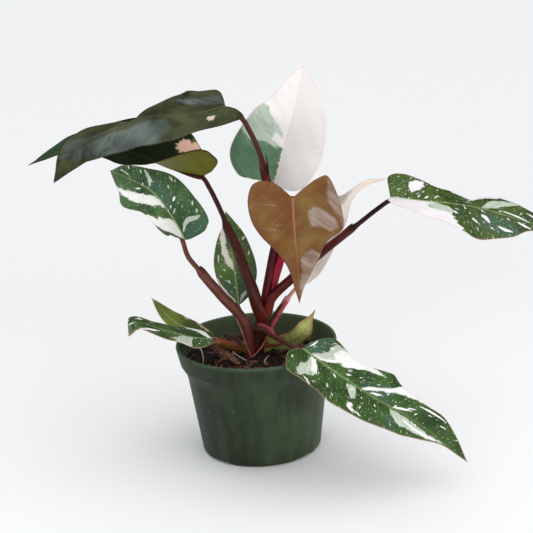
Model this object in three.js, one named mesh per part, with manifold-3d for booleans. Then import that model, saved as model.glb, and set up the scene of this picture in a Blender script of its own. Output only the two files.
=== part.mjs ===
// A pink princess philodendron in a 6 inch nursery pot, in millimetres, +Z up.
// The origin is the middle of the pot's underside, +X is to the right and -Y is to the viewer.
// Each leaf is one blade and one stalk. A blade is cut flat, as from paper, and then bent along
// its midrib, so the same few numbers give its outline, its fold and its droop.
import * as THREE from "three";
import { mergeVertices } from "three/addons/utils/BufferGeometryUtils.js";
import Module from "manifold-3d";

const wasm = await Module();
wasm.setup();

// The gap that touching pieces keep to each other.
const GAP = 0.3;

// Nursery pot: a tapered body, a shoulder and a straight rim band. edge: how high the slopes of its
// foot and rim are. lip: how far the band's edges are taken in. ledge: the inside step above the notches.
const POT = {
  height: 107.4, rimRadius: 77, bandBottomRadius: 73.6, bandBottom: 89.5,
  bodyTop: 78, bodyTopRadius: 67.6, baseRadius: 57.3, wall: 1.4, rimWall: 2.4,
  floor: 1.8, ledge: 4.2, ledgeWidth: 12, segments: 44, edge: 2, lip: 0.8,
  shoulderOut: 2.2, shoulderHeight: 5,
};
const FOOT_NOTCH = { angles: [45, 135, 225, 315], width: 21, height: 2.4, depth: 8 };

// Drain holes beside the notches: how far in from the pot's edge and above the notch their middles lie.
const DRAIN = { radius: 2.2, inFromEdge: 5, above: 1, length: 8, sides: 8 };

// Potting bark: a low mound with coarse chips, 18 mm under the rim. side: its gap to the wall.
const SOIL = { level: 88, mound: 2.5, moundRadius: 36, lump: 1.3, lowest: 85, side: 0.5, rings: 7, spokes: 32 };

// Chips: sizes, how much each corner is cut or grown, tilts in radians, how far each rises from the bark.
const CHIPS = {
  count: 34, long: [9, 22], wide: [5, 9], thick: [2.6, 4.2], seed: 7,
  corner: [[0.72, 1.1], [0.6, 1.15], [0.7, 1.1]], roll: 0.35, pitch: 0.22, rise: 0.25, toWall: 1.5,
};

// The short stem that all stalks leave, from its root in the bark to its growing point.
const STEM = {
  path: [[-5, 9, 71], [-2, 8, 94], [3, 7, 109], [7, 6, 125], [10, 7, 137]],
  radii: [8, 8.4, 8, 8.2, 4], sides: 12,
};

// Blades are a stiff sheet with a raised midrib below.
const BLADE = { thickness: 0.8, ridge: 1.1, rows: 16, across: 3, veinSlope: 0.5, wave: 1.0 };
const STALK = { sides: 8, step: 11, under: 2.6, reach: 4, swell: 1.15, sheathEnd: 0.05 };

// Free tip of a sheath, as shares of the sheath's radius, and how much of it stands above the sheath.
const SPIKE = { radius: 0.42, height: 3.4, above: 0.16, sides: 7 };

// Leaves, by where they stand. rib: the midrib from the notch of the blade to its tip. face: where
// the upper side looks at the base, middle and tip, as azimuth and height in degrees. fold: how far
// the left and right halves are folded up there. left, right: the flat outline, as millimetres along
// the midrib and out from it. stalk: its path from the stem. radii: stalk at its foot, at the end of
// its sheath and at the blade. sheath: the share of the stalk that the sheath wraps, with its free tip.
const LEAVES = {
  dark_large: {
    rib: [[-15, -7, 337], [-44, -18, 334], [-92, -23, 334], [-147, -27, 313], [-173, -34, 282]],
    face: [[-98, 80], [-97, 78], [-140, 50]], fold: [[2, 24], [-13, -25], [-12, 11]],
    left: [[-6, 14], [-1, 38], [31, 35], [68, 45], [135, 25], [158, 15]],
    right: [[-2, 19], [13, 30], [34, 44], [68, 41], [135, 28], [158, 16]],
    stalk: [[9, 9, 129], [13, 9, 149], [20, 8, 181], [25, 6, 205], [24, 2, 232], [19, -1, 259],
      [14, -3, 289], [6, -6, 312], [-2, -9, 327]],
    radii: [5.6, 4.2, 2.2], sheath: 0.66, colour: 0x33413a,
  },
  dark_folded: {
    rib: [[-40, 18, 267], [-69, 20, 275], [-109, 26, 292], [-154, 22, 303], [-203, 24, 285]],
    face: [[-95, 83], [-95, 61], [-113, 43]], fold: [[58, 22], [14, 24], [9, 9]],
    left: [[-8, 13], [-8, 33], [27, 49], [69, 35], [110, 16], [148, 5]],
    right: [[-7, 12], [5, 31], [26, 48], [73, 36], [110, 15], [149, 5]],
    stalk: [[7, 3, 128], [3, 1, 141], [0, 0, 155], [-6, 2, 175], [-12, 5, 196], [-19, 9, 213],
      [-25, 12, 231], [-35, 16, 255]],
    radii: [6.4, 4.6, 2.1], sheath: 0.63, colour: 0x3c4a26,
  },
  half_white: {
    rib: [[27, 22, 254], [38, 32, 290], [47, 33, 317], [60, 46, 360]],
    face: [[-105, 18], [-95, 15], [-89, 11]], fold: [[16, 30], [21, 19], [6, 9]],
    left: [[0, 22], [1, 37], [22, 49], [61, 39], [79, 23], [102, 11]],
    right: [[-4, 19], [3, 37], [26, 43], [55, 39], [84, 25], [102, 12]],
    stalk: [[13, 14, 131], [21, 17, 160], [27, 19, 189], [29, 21, 218], [29, 22, 240]],
    radii: [4.4, 3.6, 2.2], sheath: 0.6, colour: 0xe9dfdc,
  },
  bronze_new: {
    rib: [[41, -46, 258], [41, -53, 225], [42, -59, 202], [42, -60, 163]],
    face: [[-86, 12], [-79, 2], [-79, -8]], fold: [[10, 11], [27, 33], [15, 18]],
    left: [[-16, 22], [-15, 35], [25, 45], [43, 29], [63, 15], [82, 5]],
    right: [[-16, 19], [-13, 38], [17, 42], [41, 29], [60, 12], [83, 4]],
    stalk: [[11, 10, 135], [19, 9, 158], [27, 4, 182], [34, -10, 213], [38, -27, 238]],
    radii: [4.6, 3.4, 1.9], sheath: 0.45, colour: 0x8d6a3c,
  },
  speckled_left: {
    rib: [[-60, -26, 219], [-69, -23, 238], [-87, -32, 269], [-120, -46, 293]],
    face: [[-57, 60], [-78, 43], [-97, 25]], fold: [[43, 11], [12, 3], [-10, 4]],
    left: [[3, 9], [7, 26], [22, 33], [50, 25], [79, 26], [88, 14]],
    right: [[-3, 9], [-1, 27], [21, 33], [47, 27], [68, 17], [91, 10]],
    stalk: [[-6, 2, 80], [-6, 0, 102], [-8, -2, 121], [-16, -4, 137], [-27, -8, 152], [-48, -18, 185],
      [-58, -23, 202]],
    radii: [5.2, 4.4, 2.1], sheath: 0.72, colour: 0x3f6b45,
  },
  speckled_right: {
    rib: [[133, 0, 240], [160, -5, 237], [208, -7, 229], [262, -16, 212], [283, -20, 203]],
    face: [[-89, 73], [-90, 66], [-91, 42]], fold: [[13, 27], [-33, -1], [19, 1]],
    left: [[-3, 13], [-4, 30], [28, 36], [79, 41], [113, 20], [135, 10]],
    right: [[0, 10], [2, 29], [34, 37], [82, 40], [117, 23], [133, 9]],
    stalk: [[11, 6, 132], [17, 3, 147], [36, -1, 166], [67, -3, 192], [101, -3, 217], [121, -1, 231]],
    radii: [5, 3.6, 2.1], sheath: 0.7, colour: 0x3f6b45,
  },
  upright_small: {
    rib: [[-15, 22, 136], [-16, 28, 150], [-17, 32, 168], [-20, 36, 202], [-22, 42, 224]],
    face: [[-69, 17], [-80, 16], [-89, 14]], fold: [[28, 11], [16, 10], [11, 9]],
    left: [[3, 5], [10, 14], [23, 20], [42, 21], [63, 14], [78, 5]],
    right: [[2, 5], [10, 14], [23, 20], [41, 21], [66, 15], [82, 6]],
    stalk: [[-1, 10, 100], [-6, 15, 111], [-11, 20, 123]],
    radii: [3.2, 2.6, 1.8], sheath: 0.5, colour: 0x3f6b45,
  },
  speckled_low: {
    rib: [[43, -59, 118], [72, -79, 100], [105, -101, 82], [139, -111, 62], [184, -123, 25]],
    face: [[-68, 72], [-69, 58], [-67, 35]], fold: [[-5, 6], [-9, 16], [20, 0]],
    left: [[0, 17], [12, 37], [44, 30], [81, 40], [114, 23], [147, 19]],
    right: [[-6, 15], [8, 36], [33, 35], [67, 41], [117, 25], [153, 4]],
    stalk: [[4, 0, 119], [11, -7, 119], [19, -18, 115], [32, -43, 116]],
    radii: [5.4, 3, 2.1], sheath: 0.3, colour: 0x3f6b45,
  },
  low_left: {
    rib: [[-41, -22, 118], [-64, -28, 125], [-85, -39, 137], [-109, -52, 150], [-116, -52, 137]],
    face: [[-92, 82], [-94, 71], [-155, 43]], fold: [[10, -5], [-1, -9], [-9, 8]],
    left: [[0, 6], [5, 17], [15, 23], [40, 17], [67, 14], [86, 10]],
    right: [[1, 6], [4, 17], [17, 23], [40, 17], [66, 13], [85, 11]],
    stalk: [[-5, 1, 94], [-16, -4, 101], [-27, -11, 107], [-35, -17, 113]],
    radii: [4.6, 4, 2], sheath: 0.8, colour: 0x3f6b45,
  },
  olive_small: {
    rib: [[14, 1, 102], [31, 4, 102], [46, 2, 112], [58, 13, 129]],
    face: [[110, 34], [98, 20], [88, 10]], fold: [[0, -13], [17, -8], [9, 10]],
    left: [[-6, 3], [-4, 15], [11, 13], [26, 13], [37, 11], [49, 3]],
    right: [[-3, 3], [-5, 14], [11, 13], [25, 13], [38, 11], [51, 3]],
    stalk: [[0, 7, 101], [7, 3, 100]], rows: 12,
    radii: [2.4, 2.2, 1.6], sheath: 0.4, colour: 0x7c8c3c,
  },
  peach: {
    rib: [[43, 10, 157], [54, 16, 177], [66, 18, 201], [82, 20, 227], [107, 21, 247], [130, 17, 254]],
    face: [[-114, 11], [-101, 10], [-58, 20]], fold: [[14, 17], [14, 14], [10, 10]],
    left: [[-1, 5], [8, 12], [27, 18], [77, 18], [96, 4], [122, 3]],
    right: [[2, 5], [8, 12], [27, 18], [74, 17], [98, 6], [112, 3]],
    stalk: [[6, 9, 105], [14, 11, 116], [26, 11, 134], [36, 10, 148]],
    radii: [4.2, 2.9, 1.7], sheath: 0.66, colour: 0xe3bfa0,
  },
  olive_low: {
    rib: [[-42, 8, 108], [-62, 15, 114], [-81, 15, 128], [-98, 21, 148]],
    face: [[-69, 51], [-77, 45], [-87, 36]], fold: [[21, 6], [24, 3], [10, 10]],
    left: [[-2, 5], [-1, 13], [14, 13], [30, 13], [48, 8], [62, 4]],
    right: [[0, 2], [3, 6], [14, 9.5], [29, 11.5], [48, 8], [62, 4]],
    stalk: [[-6, 9, 94], [-20, 9, 99], [-33, 8, 105]], rows: 12,
    radii: [2.8, 2.3, 1.7], sheath: 0.4, colour: 0x66803a,
  },
};

// Thin pieces round the foot of the plant: bare roots on the bark and a dry thread of old sheath.
const THREADS = {
  root_left: {
    path: [[-54.4, 23, 92], [-52, 7, 91.6], [-51.6, -4, 90], [-52, -9, 86]], radius: 0.8, colour: 0xd8cdbb,
  },
  root_front: {
    path: [[-23, 9, 92.4], [-17, -2, 91.6], [-9, -13, 90], [-4.6, -18, 85.5]], radius: 0.8, colour: 0xd8cdbb,
  },
  root_right: {
    path: [[11.3, 1, 89.5], [9, -8, 91], [7, -16, 90], [7.4, -21, 85]], radius: 0.8, colour: 0xd8cdbb,
  },
  dry_thread: { path: [[13.5, 3, 139], [20, 4, 131], [27, 3, 122]], radius: 0.7, colour: 0x35221c },
};

// Old bud sheaths that have dried to curled strips, made as narrow blades.
const HUSKS = {
  husk_front: {
    rib: [[-40, -10, 104], [-26, -15, 97], [-11, -20, 85]],
    face: [[-70, 50], [-75, 55], [-80, 70]], fold: [[35, 35], [30, 30], [10, 10]],
    left: [[1, 1.8], [8, 3.2], [16, 3.6], [22, 3.2], [27, 2.6], [31, 1.4]],
    right: [[1, 1.8], [8, 3.2], [16, 3.6], [22, 3.2], [27, 2.6], [31, 1.4]], rows: 8, colour: 0x8a5a4c,
  },
  husk_left: {
    rib: [[-14, -7, 101], [-16, -7, 110], [-19, -10, 120]],
    face: [[-120, 5], [-125, 5], [-130, 10]], fold: [[30, 30], [30, 30], [20, 20]],
    left: [[1, 1.5], [4, 3], [8, 3.6], [11, 3.4], [14, 2.4], [17, 1.2]],
    right: [[1, 1.5], [4, 3], [8, 3.6], [11, 3.4], [14, 2.4], [17, 1.2]], rows: 8, colour: 0x7a4a3e,
  },
};

const vector = (p) => new THREE.Vector3(...p);
const through = (points) => new THREE.CatmullRomCurve3(points.map(vector), false, "catmullrom", 0.5);
const mix = THREE.MathUtils.lerp;
const radians = THREE.MathUtils.degToRad;

// A value given at the start, middle and end of a leaf, at the share m of its length.
function keyed(keys, m) {
  const x = THREE.MathUtils.clamp(m, 0, 1) * (keys.length - 1);
  const i = Math.min(Math.floor(x), keys.length - 2);
  return [keys[i], keys[i + 1], x - i];
}

// A closed geometry from a list of points and faces.
function body(points, faces) {
  const geometry = new THREE.BufferGeometry();
  geometry.setAttribute("position", new THREE.Float32BufferAttribute(points.flatMap((p) => p.toArray()), 3));
  geometry.setIndex(faces.flat());
  return geometry;
}

// A closed geometry as a solid that can be joined and cut, and back again.
function toSolid(geometry) {
  const bare = new THREE.BufferGeometry();
  bare.setAttribute("position", geometry.getAttribute("position").clone());
  if (geometry.index) bare.setIndex(geometry.index.clone());
  const merged = mergeVertices(bare, 1e-4);
  const mesh = new wasm.Mesh({
    numProp: 3,
    vertProperties: new Float32Array(merged.attributes.position.array),
    triVerts: new Uint32Array(merged.index.array),
  });
  return new wasm.Manifold(mesh);
}

function toGeometry(solid) {
  const largest = solid.decompose().sort((a, b) => b.volume() - a.volume())[0];
  const mesh = largest.getMesh();
  const geometry = new THREE.BufferGeometry();
  geometry.setAttribute("position", new THREE.Float32BufferAttribute(mesh.vertProperties, 3));
  geometry.setIndex([...mesh.triVerts]);
  return geometry;
}

// The direction that a face looks in, from its azimuth and its height in degrees.
function looking([azimuth, height]) {
  const a = radians(azimuth);
  const h = radians(height);
  return new THREE.Vector3(Math.cos(h) * Math.cos(a), Math.cos(h) * Math.sin(a), Math.sin(h));
}

// The place on a bent blade of a point of its flat outline: along the midrib and out from it,
// with side -1 for the left half and +1 for the right half.
function bend(leaf, rib, length, along, out, side, reach) {
  const share = THREE.MathUtils.clamp(along / length, 0, 1);
  const centre = rib.getPointAt(share);
  const forward = rib.getTangentAt(share);
  centre.addScaledVector(forward, along - share * length);
  const [f0, f1, f] = keyed(leaf.face, share);
  const face = looking(f0).lerp(looking(f1), f);
  const across = new THREE.Vector3().crossVectors(forward, face).normalize();
  const normal = new THREE.Vector3().crossVectors(across, forward);
  const [g0, g1, g] = keyed(leaf.fold, share);
  const half = side < 0 ? 0 : 1;
  const fold = radians(mix(g0[half], g1[half], g));
  const ripple = BLADE.wave * (out / reach) ** 2 * Math.sin((along / reach) * 4 + half * 2);
  centre.addScaledVector(across, side * out * Math.cos(fold));
  return centre.addScaledVector(normal, out * Math.sin(fold) + ripple);
}

// The rows of a blade from its notch to its tip: a place on the midrib, and on each margin.
// extra grows the outline square to its edge.
function bladeRows(leaf, length, rows, extra) {
  const margins = [leaf.left, leaf.right].map((side) => {
    const points = [[0, 0], ...side, [length, 0]].map(([a, b]) => new THREE.Vector3(a, b, 0));
    return new THREE.CatmullRomCurve3(points, false, "catmullrom", 0.5);
  });
  const list = [];
  let start = 0;
  for (let i = 0; i <= rows; i++) {
    const [left, right] = margins.map((curve) => {
      const point = curve.getPoint(i / rows);
      const way = curve.getTangent(i / rows);
      return point.set(point.x - way.y * extra, Math.max(point.y + way.x * extra, 0), 0);
    });
    const along = (left.x + right.x) / 2 - (BLADE.veinSlope * (left.y + right.y)) / 2;
    start = i === rows ? length : Math.min(Math.max(start, along), length);
    list.push({ start, left, right });
  }
  return list;
}

// A blade as a closed sheet. extra thickens it, for cutting what must stay clear of it.
function blade(leaf, extra = 0) {
  const rib = through(leaf.rib);
  const length = rib.getLength();
  const last = leaf.rows ?? BLADE.rows;
  const rows = bladeRows(leaf, length, last, extra);
  const reach = Math.max(...leaf.left.map((p) => p[1]), ...leaf.right.map((p) => p[1]));
  const middle = [];
  const index = new Map();
  const ridges = [];
  function vertex(row, step, side) {
    const { start } = rows[row];
    const onRib = step === 0 || row === 0 || row === last;
    const place = row === 0 || (step === 0 && start === 0) ? 0 : row;
    const key = onRib ? `rib ${place}` : `${side} ${row} ${step}`;
    if (!index.has(key)) {
      const v = onRib ? 0 : step / BLADE.across;
      const margin = side < 0 ? rows[row].left : rows[row].right;
      const along = onRib ? rows[place].start : mix(start, margin.x, v);
      index.set(key, middle.length);
      middle.push(bend(leaf, rib, length, along, Math.max(margin.y, 0.4) * v, side, reach));
      ridges.push(onRib ? BLADE.ridge * (1 - along / length) : 0);
    }
    return index.get(key);
  }
  const faces = [];
  for (const side of [-1, 1]) {
    for (let i = 0; i < last; i++) {
      for (let j = 0; j < BLADE.across; j++) {
        const [a, b] = [vertex(i, j, side), vertex(i + 1, j, side)];
        const [c, d] = [vertex(i + 1, j + 1, side), vertex(i, j + 1, side)];
        for (const [p, q, r] of [[a, c, b], [a, d, c]]) {
          if (p !== q && q !== r && r !== p) faces.push(side > 0 ? [p, q, r] : [p, r, q]);
        }
      }
    }
  }
  const sheet = body(middle, faces);
  sheet.computeVertexNormals();
  const normals = middle.map((_, i) => new THREE.Vector3().fromBufferAttribute(sheet.attributes.normal, i));
  const count = middle.length;
  const half = BLADE.thickness / 2 + extra;
  const top = middle.map((p, i) => p.clone().addScaledVector(normals[i], half));
  const under = middle.map((p, i) => p.clone().addScaledVector(normals[i], -half - ridges[i]));
  const shell = [...faces, ...faces.map(([p, q, r]) => [p + count, r + count, q + count])];
  const edges = new Set(faces.flatMap(([p, q, r]) => [`${p} ${q}`, `${q} ${r}`, `${r} ${p}`]));
  for (const edge of edges) {
    const [p, q] = edge.split(" ").map(Number);
    if (!edges.has(`${q} ${p}`)) shell.push([p, p + count, q + count], [p, q + count, q]);
  }
  return body([...top, ...under], shell);
}

// A round or oval bar along a curve, closed at both ends. radiusAt gives its radius along it.
function bar(curve, radiusAt, sides, steps, extra = 0) {
  const frames = curve.computeFrenetFrames(steps, false);
  const points = [];
  for (let i = 0; i <= steps; i++) {
    const centre = curve.getPointAt(i / steps);
    const radius = radiusAt(i / steps) + extra;
    for (let j = 0; j < sides; j++) {
      const turn = (j / sides) * 2 * Math.PI;
      const point = centre.clone().addScaledVector(frames.normals[i], Math.cos(turn) * radius);
      points.push(point.addScaledVector(frames.binormals[i], Math.sin(turn) * radius));
    }
  }
  const first = points.length;
  points.push(curve.getPointAt(0), curve.getPointAt(1));
  const faces = [];
  for (let j = 0; j < sides; j++) {
    const next = (j + 1) % sides;
    for (let i = 0; i < steps; i++) {
      const [a, b, c, d] = [i * sides + j, i * sides + next, (i + 1) * sides + next, (i + 1) * sides + j];
      faces.push([a, b, c], [a, c, d]);
    }
    faces.push([first, next, j], [first + 1, steps * sides + j, steps * sides + next]);
  }
  return body(points, faces);
}

// A stalk ends under the midrib, just inside the notch of its blade.
function stalkCurve(leaf) {
  const rib = through(leaf.rib);
  const length = rib.getLength();
  const start = bend(leaf, rib, length, 0, 0, 1, 1);
  const end = bend(leaf, rib, length, STALK.reach, 0, 1, 1);
  const up = looking(leaf.face[0]);
  const forward = rib.getTangentAt(0);
  const below = new THREE.Vector3().crossVectors(new THREE.Vector3().crossVectors(forward, up), forward);
  below.normalize().multiplyScalar(-STALK.under);
  return new THREE.CatmullRomCurve3([...leaf.stalk.map(vector), start.add(below), end.add(below)]);
}

function stalkRadius(leaf) {
  const [foot, sheathEnd, top] = leaf.radii;
  const thin = top * STALK.swell;
  return (t) => {
    if (t < leaf.sheath) return mix(foot, sheathEnd, t / leaf.sheath);
    const step = THREE.MathUtils.smoothstep(t, leaf.sheath, leaf.sheath + STALK.sheathEnd);
    return mix(mix(sheathEnd, thin, step), top, (t - leaf.sheath) / (1 - leaf.sheath));
  };
}

// The free tip of the sheath, a small spike on the side of the stalk that looks at the stem.
function sheathTip(leaf, curve) {
  const at = curve.getPointAt(leaf.sheath);
  const along = curve.getTangentAt(leaf.sheath);
  const inward = vector(STEM.path[4]).sub(at).setZ(0);
  inward.addScaledVector(along, -inward.dot(along)).normalize();
  const radius = leaf.radii[1] * SPIKE.radius;
  const height = leaf.radii[1] * SPIKE.height;
  const spike = new THREE.ConeGeometry(radius, height, SPIKE.sides);
  const turn = new THREE.Quaternion().setFromUnitVectors(new THREE.Vector3(0, 1, 0), along);
  const place = at.clone().addScaledVector(inward, leaf.radii[1] - radius);
  place.addScaledVector(along, height * SPIKE.above);
  return spike.applyMatrix4(new THREE.Matrix4().compose(place, turn, new THREE.Vector3(1, 1, 1)));
}

function stalk(leaf, extra = 0) {
  const curve = stalkCurve(leaf);
  const steps = Math.max(6, Math.round(curve.getLength() / STALK.step));
  const solid = toSolid(bar(curve, stalkRadius(leaf), STALK.sides, steps, extra));
  return solid.add(toSolid(sheathTip(leaf, curve)));
}

function stem(extra = 0) {
  const last = STEM.radii.length - 1;
  const radius = (t) => {
    const [a, b, f] = keyed(STEM.radii, t);
    return mix(a, b, f);
  };
  return toSolid(bar(through(STEM.path), radius, STEM.sides, last * 3, extra));
}

function thread(piece, extra = 0) {
  return toSolid(bar(through(piece.path), () => piece.radius, 6, 6, extra));
}

// The pot's wall as half of its section, turned round the axis, with four notches under the base.
function pot() {
  const { edge, lip } = POT;
  const outside = [[0, 0], [POT.baseRadius - edge, 0], [POT.baseRadius, edge], [POT.bodyTopRadius, POT.bodyTop],
    [POT.bodyTopRadius + POT.shoulderOut, POT.bodyTop + POT.shoulderHeight],
    [POT.bandBottomRadius - lip, POT.bandBottom - lip],
    [POT.bandBottomRadius, POT.bandBottom], [POT.rimRadius - lip, POT.height - 2.5 * edge],
    [POT.rimRadius, POT.height - edge], [POT.rimRadius - lip, POT.height]];
  const ledgeRadius = POT.baseRadius - POT.ledgeWidth;
  const rimInside = POT.rimRadius - POT.rimWall;
  const inside = [[rimInside, POT.height], [rimInside - lip, POT.height - 1.5 * edge],
    [POT.bandBottomRadius - POT.wall, POT.bandBottom], [POT.bodyTopRadius - POT.wall, POT.bodyTop - 1],
    [POT.baseRadius - POT.wall, POT.ledge], [ledgeRadius, POT.ledge], [ledgeRadius - 1, POT.floor],
    [0, POT.floor]];
  const profile = [...outside, ...inside].map(([r, z]) => new THREE.Vector2(r, z));
  const turned = new THREE.LatheGeometry(profile, POT.segments).rotateX(Math.PI / 2);
  let solid = toSolid(turned);
  for (const angle of FOOT_NOTCH.angles) {
    const notch = new THREE.BoxGeometry(FOOT_NOTCH.depth * 2, FOOT_NOTCH.width, FOOT_NOTCH.height * 2);
    notch.translate(POT.baseRadius, 0, 0).rotateZ(radians(angle));
    solid = solid.subtract(toSolid(notch));
    for (const side of [-1, 1]) {
      const hole = new THREE.CylinderGeometry(DRAIN.radius, DRAIN.radius, DRAIN.length, DRAIN.sides);
      hole.rotateX(Math.PI / 2);
      const height = FOOT_NOTCH.height + DRAIN.above;
      hole.translate(POT.baseRadius - DRAIN.inFromEdge, (side * FOOT_NOTCH.width) / 3, height);
      solid = solid.subtract(toSolid(hole.rotateZ(radians(angle))));
    }
  }
  return solid;
}

// The inner radius of the pot at a height, less the gap that the bark keeps to it.
function barkRadius(z) {
  const body = THREE.MathUtils.clamp((z - POT.ledge) / (POT.bodyTop - 1 - POT.ledge), 0, 1);
  const shoulder = THREE.MathUtils.clamp((z - POT.bodyTop + 1) / (POT.bandBottom - POT.bodyTop + 1), 0, 1);
  const wide = mix(POT.bodyTopRadius, POT.bandBottomRadius, shoulder);
  return mix(POT.baseRadius, wide, body) - POT.wall - SOIL.side;
}

function barkHeight(x, y) {
  const mound = SOIL.mound * Math.exp(-(x * x + y * y) / SOIL.moundRadius ** 2);
  const lumps = Math.sin(x * 0.19 + 1) * Math.cos(y * 0.23 - x * 0.07) + 0.5 * Math.sin(x * 0.41 - y * 0.37);
  return SOIL.level + mound + SOIL.lump * lumps;
}

// The filling of the pot below the chips.
function bark() {
  const edge = barkRadius(SOIL.lowest);
  const points = [new THREE.Vector3(0, 0, barkHeight(0, 0))];
  const faces = [];
  const ring = (radius, height) => {
    for (let j = 0; j < SOIL.spokes; j++) {
      const turn = (j / SOIL.spokes) * 2 * Math.PI;
      const [x, y] = [radius * Math.cos(turn), radius * Math.sin(turn)];
      points.push(new THREE.Vector3(x, y, height ?? barkHeight(x, y)));
    }
  };
  for (let i = 1; i <= SOIL.rings; i++) ring((edge * i) / SOIL.rings);
  ring(barkRadius(POT.bodyTop - 1), POT.bodyTop - 1);
  ring(barkRadius(POT.ledge), POT.ledge + GAP);
  ring(POT.baseRadius - POT.ledgeWidth - POT.wall, POT.ledge + GAP);
  ring(POT.baseRadius - POT.ledgeWidth - POT.wall - SOIL.side, POT.floor + GAP);
  const bottom = points.push(new THREE.Vector3(0, 0, POT.floor + GAP)) - 1;
  const rings = SOIL.rings + 4;
  for (let j = 0; j < SOIL.spokes; j++) {
    const next = (j + 1) % SOIL.spokes;
    faces.push([0, 1 + j, 1 + next]);
    for (let i = 0; i < rings - 1; i++) {
      const [a, b] = [1 + i * SOIL.spokes + j, 1 + i * SOIL.spokes + next];
      faces.push([a, a + SOIL.spokes, b + SOIL.spokes], [a, b + SOIL.spokes, b]);
    }
    const last = 1 + (rings - 1) * SOIL.spokes;
    faces.push([bottom, last + next, last + j]);
  }
  return toSolid(body(points, faces));
}

// Repeatable draws for the chips.
function seeded(seed) {
  let state = seed;
  return (low, high) => {
    state = (state * 16807) % 2147483647;
    return mix(low, high, state / 2147483647);
  };
}

// A chip of bark: a block with uneven corners, sunk to half its thickness.
function chip(draw) {
  const size = [draw(...CHIPS.long), draw(...CHIPS.wide), draw(...CHIPS.thick)];
  const block = new THREE.BoxGeometry(...size);
  const corners = new Map();
  const place = block.attributes.position;
  for (let i = 0; i < place.count; i++) {
    const corner = new THREE.Vector3().fromBufferAttribute(place, i);
    const key = corner.toArray().map(Math.sign).join();
    if (!corners.has(key)) corners.set(key, CHIPS.corner.map((span) => draw(...span)));
    const [sx, sy, sz] = corners.get(key);
    place.setXYZ(i, corner.x * sx, corner.y * sy, corner.z * sz);
  }
  block.rotateX(draw(-CHIPS.roll, CHIPS.roll));
  block.rotateY(draw(-CHIPS.pitch, CHIPS.pitch));
  block.rotateZ(draw(0, Math.PI));
  const turn = draw(0, 2 * Math.PI);
  const radius = Math.sqrt(draw(0.05, 1)) * (barkRadius(SOIL.lowest) - size[0] / 2 - CHIPS.toWall);
  const [x, y] = [radius * Math.cos(turn), radius * Math.sin(turn)];
  return block.translate(x, y, barkHeight(x, y) + size[2] * CHIPS.rise);
}

const plant = new THREE.Group();

function place(name, solid, color, roughness = 0.5) {
  const material = new THREE.MeshStandardMaterial({ color, roughness, metalness: 0 });
  const mesh = new THREE.Mesh(toGeometry(solid), material);
  mesh.name = name;
  plant.add(mesh);
}

// The longest stalks are laid first, and each later piece is cut back from those before it.
const STALK_ORDER = ["dark_folded", "speckled_right", "dark_large", "bronze_new", "half_white",
  "speckled_left", "speckled_low", "peach", "upright_small", "low_left", "olive_small", "olive_low"];

place("pot", pot(), 0x2c4636, 0.35);
place("stem", stem(), 0x7a2c26);

const clear = [stem(GAP)];
for (const name of STALK_ORDER) {
  const leaf = LEAVES[name];
  let solid = clear.reduce((left, other) => left.subtract(other), stalk(leaf));
  solid = solid.subtract(toSolid(blade(leaf, GAP)));
  place(`stalk_${name}`, solid, 0x5e2a28);
  clear.push(stalk(leaf, GAP));
}
for (const [name, leaf] of Object.entries(LEAVES)) {
  place(`leaf_${name}`, toSolid(blade(leaf)), leaf.colour, 0.35);
}
for (const [name, husk] of Object.entries(HUSKS)) {
  place(name, clear.reduce((left, other) => left.subtract(other), toSolid(blade(husk))), husk.colour, 0.8);
  clear.push(toSolid(blade(husk, GAP)));
}
for (const [name, piece] of Object.entries(THREADS)) {
  place(name, clear.reduce((left, other) => left.subtract(other), thread(piece)), piece.colour, 0.7);
  clear.push(thread(piece, GAP));
}

// The small olive leaf lies on the bark, which gives way to it.
clear.push(toSolid(blade(LEAVES.olive_small, GAP)));
const draw = seeded(CHIPS.seed);
let soil = bark();
for (let i = 0; i < CHIPS.count; i++) soil = soil.add(toSolid(chip(draw)));
place("soil", clear.reduce((left, other) => left.subtract(other), soil), 0x3a241d, 0.95);

export default plant;
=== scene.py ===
# %% [markdown]
# # A potted pink princess philodendron
#
# The plant stands in bark in a 6 inch nursery pot. Its leaves are what people buy it for: no two
# halves are alike, dark or bronze on one side and white, pink or speckled on the other.
#
# The solids of the part are loaded first and stay where they are. Each leaf, stalk and the pot is
# then made again with a fine surface in the same place, and gets its colours from nodes.

# %% Load the part
import math

import bpy
import numpy as np
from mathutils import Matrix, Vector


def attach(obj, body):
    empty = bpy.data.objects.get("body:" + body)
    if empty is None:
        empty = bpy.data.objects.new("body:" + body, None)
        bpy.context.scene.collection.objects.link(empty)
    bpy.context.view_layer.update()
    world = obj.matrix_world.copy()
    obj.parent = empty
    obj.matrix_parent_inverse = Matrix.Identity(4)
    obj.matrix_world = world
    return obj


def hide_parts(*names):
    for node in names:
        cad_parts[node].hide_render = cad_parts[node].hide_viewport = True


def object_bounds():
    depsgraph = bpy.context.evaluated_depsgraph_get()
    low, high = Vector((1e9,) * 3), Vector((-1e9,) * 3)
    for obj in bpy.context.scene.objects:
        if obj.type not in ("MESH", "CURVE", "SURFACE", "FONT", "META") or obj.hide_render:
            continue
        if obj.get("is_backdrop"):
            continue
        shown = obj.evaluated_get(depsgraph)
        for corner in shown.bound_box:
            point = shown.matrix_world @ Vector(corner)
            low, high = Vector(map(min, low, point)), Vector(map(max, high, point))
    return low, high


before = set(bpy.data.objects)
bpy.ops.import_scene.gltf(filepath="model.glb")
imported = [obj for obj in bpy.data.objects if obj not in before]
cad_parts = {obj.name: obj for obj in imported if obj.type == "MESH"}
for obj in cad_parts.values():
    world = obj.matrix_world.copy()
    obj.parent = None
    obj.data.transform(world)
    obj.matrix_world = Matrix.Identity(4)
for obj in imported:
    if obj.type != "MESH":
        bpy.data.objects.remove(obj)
cad_low, cad_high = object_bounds()
MM = 0.001
print("solids:", len(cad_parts), "size mm:", [round(x / MM) for x in cad_high - cad_low])

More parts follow.
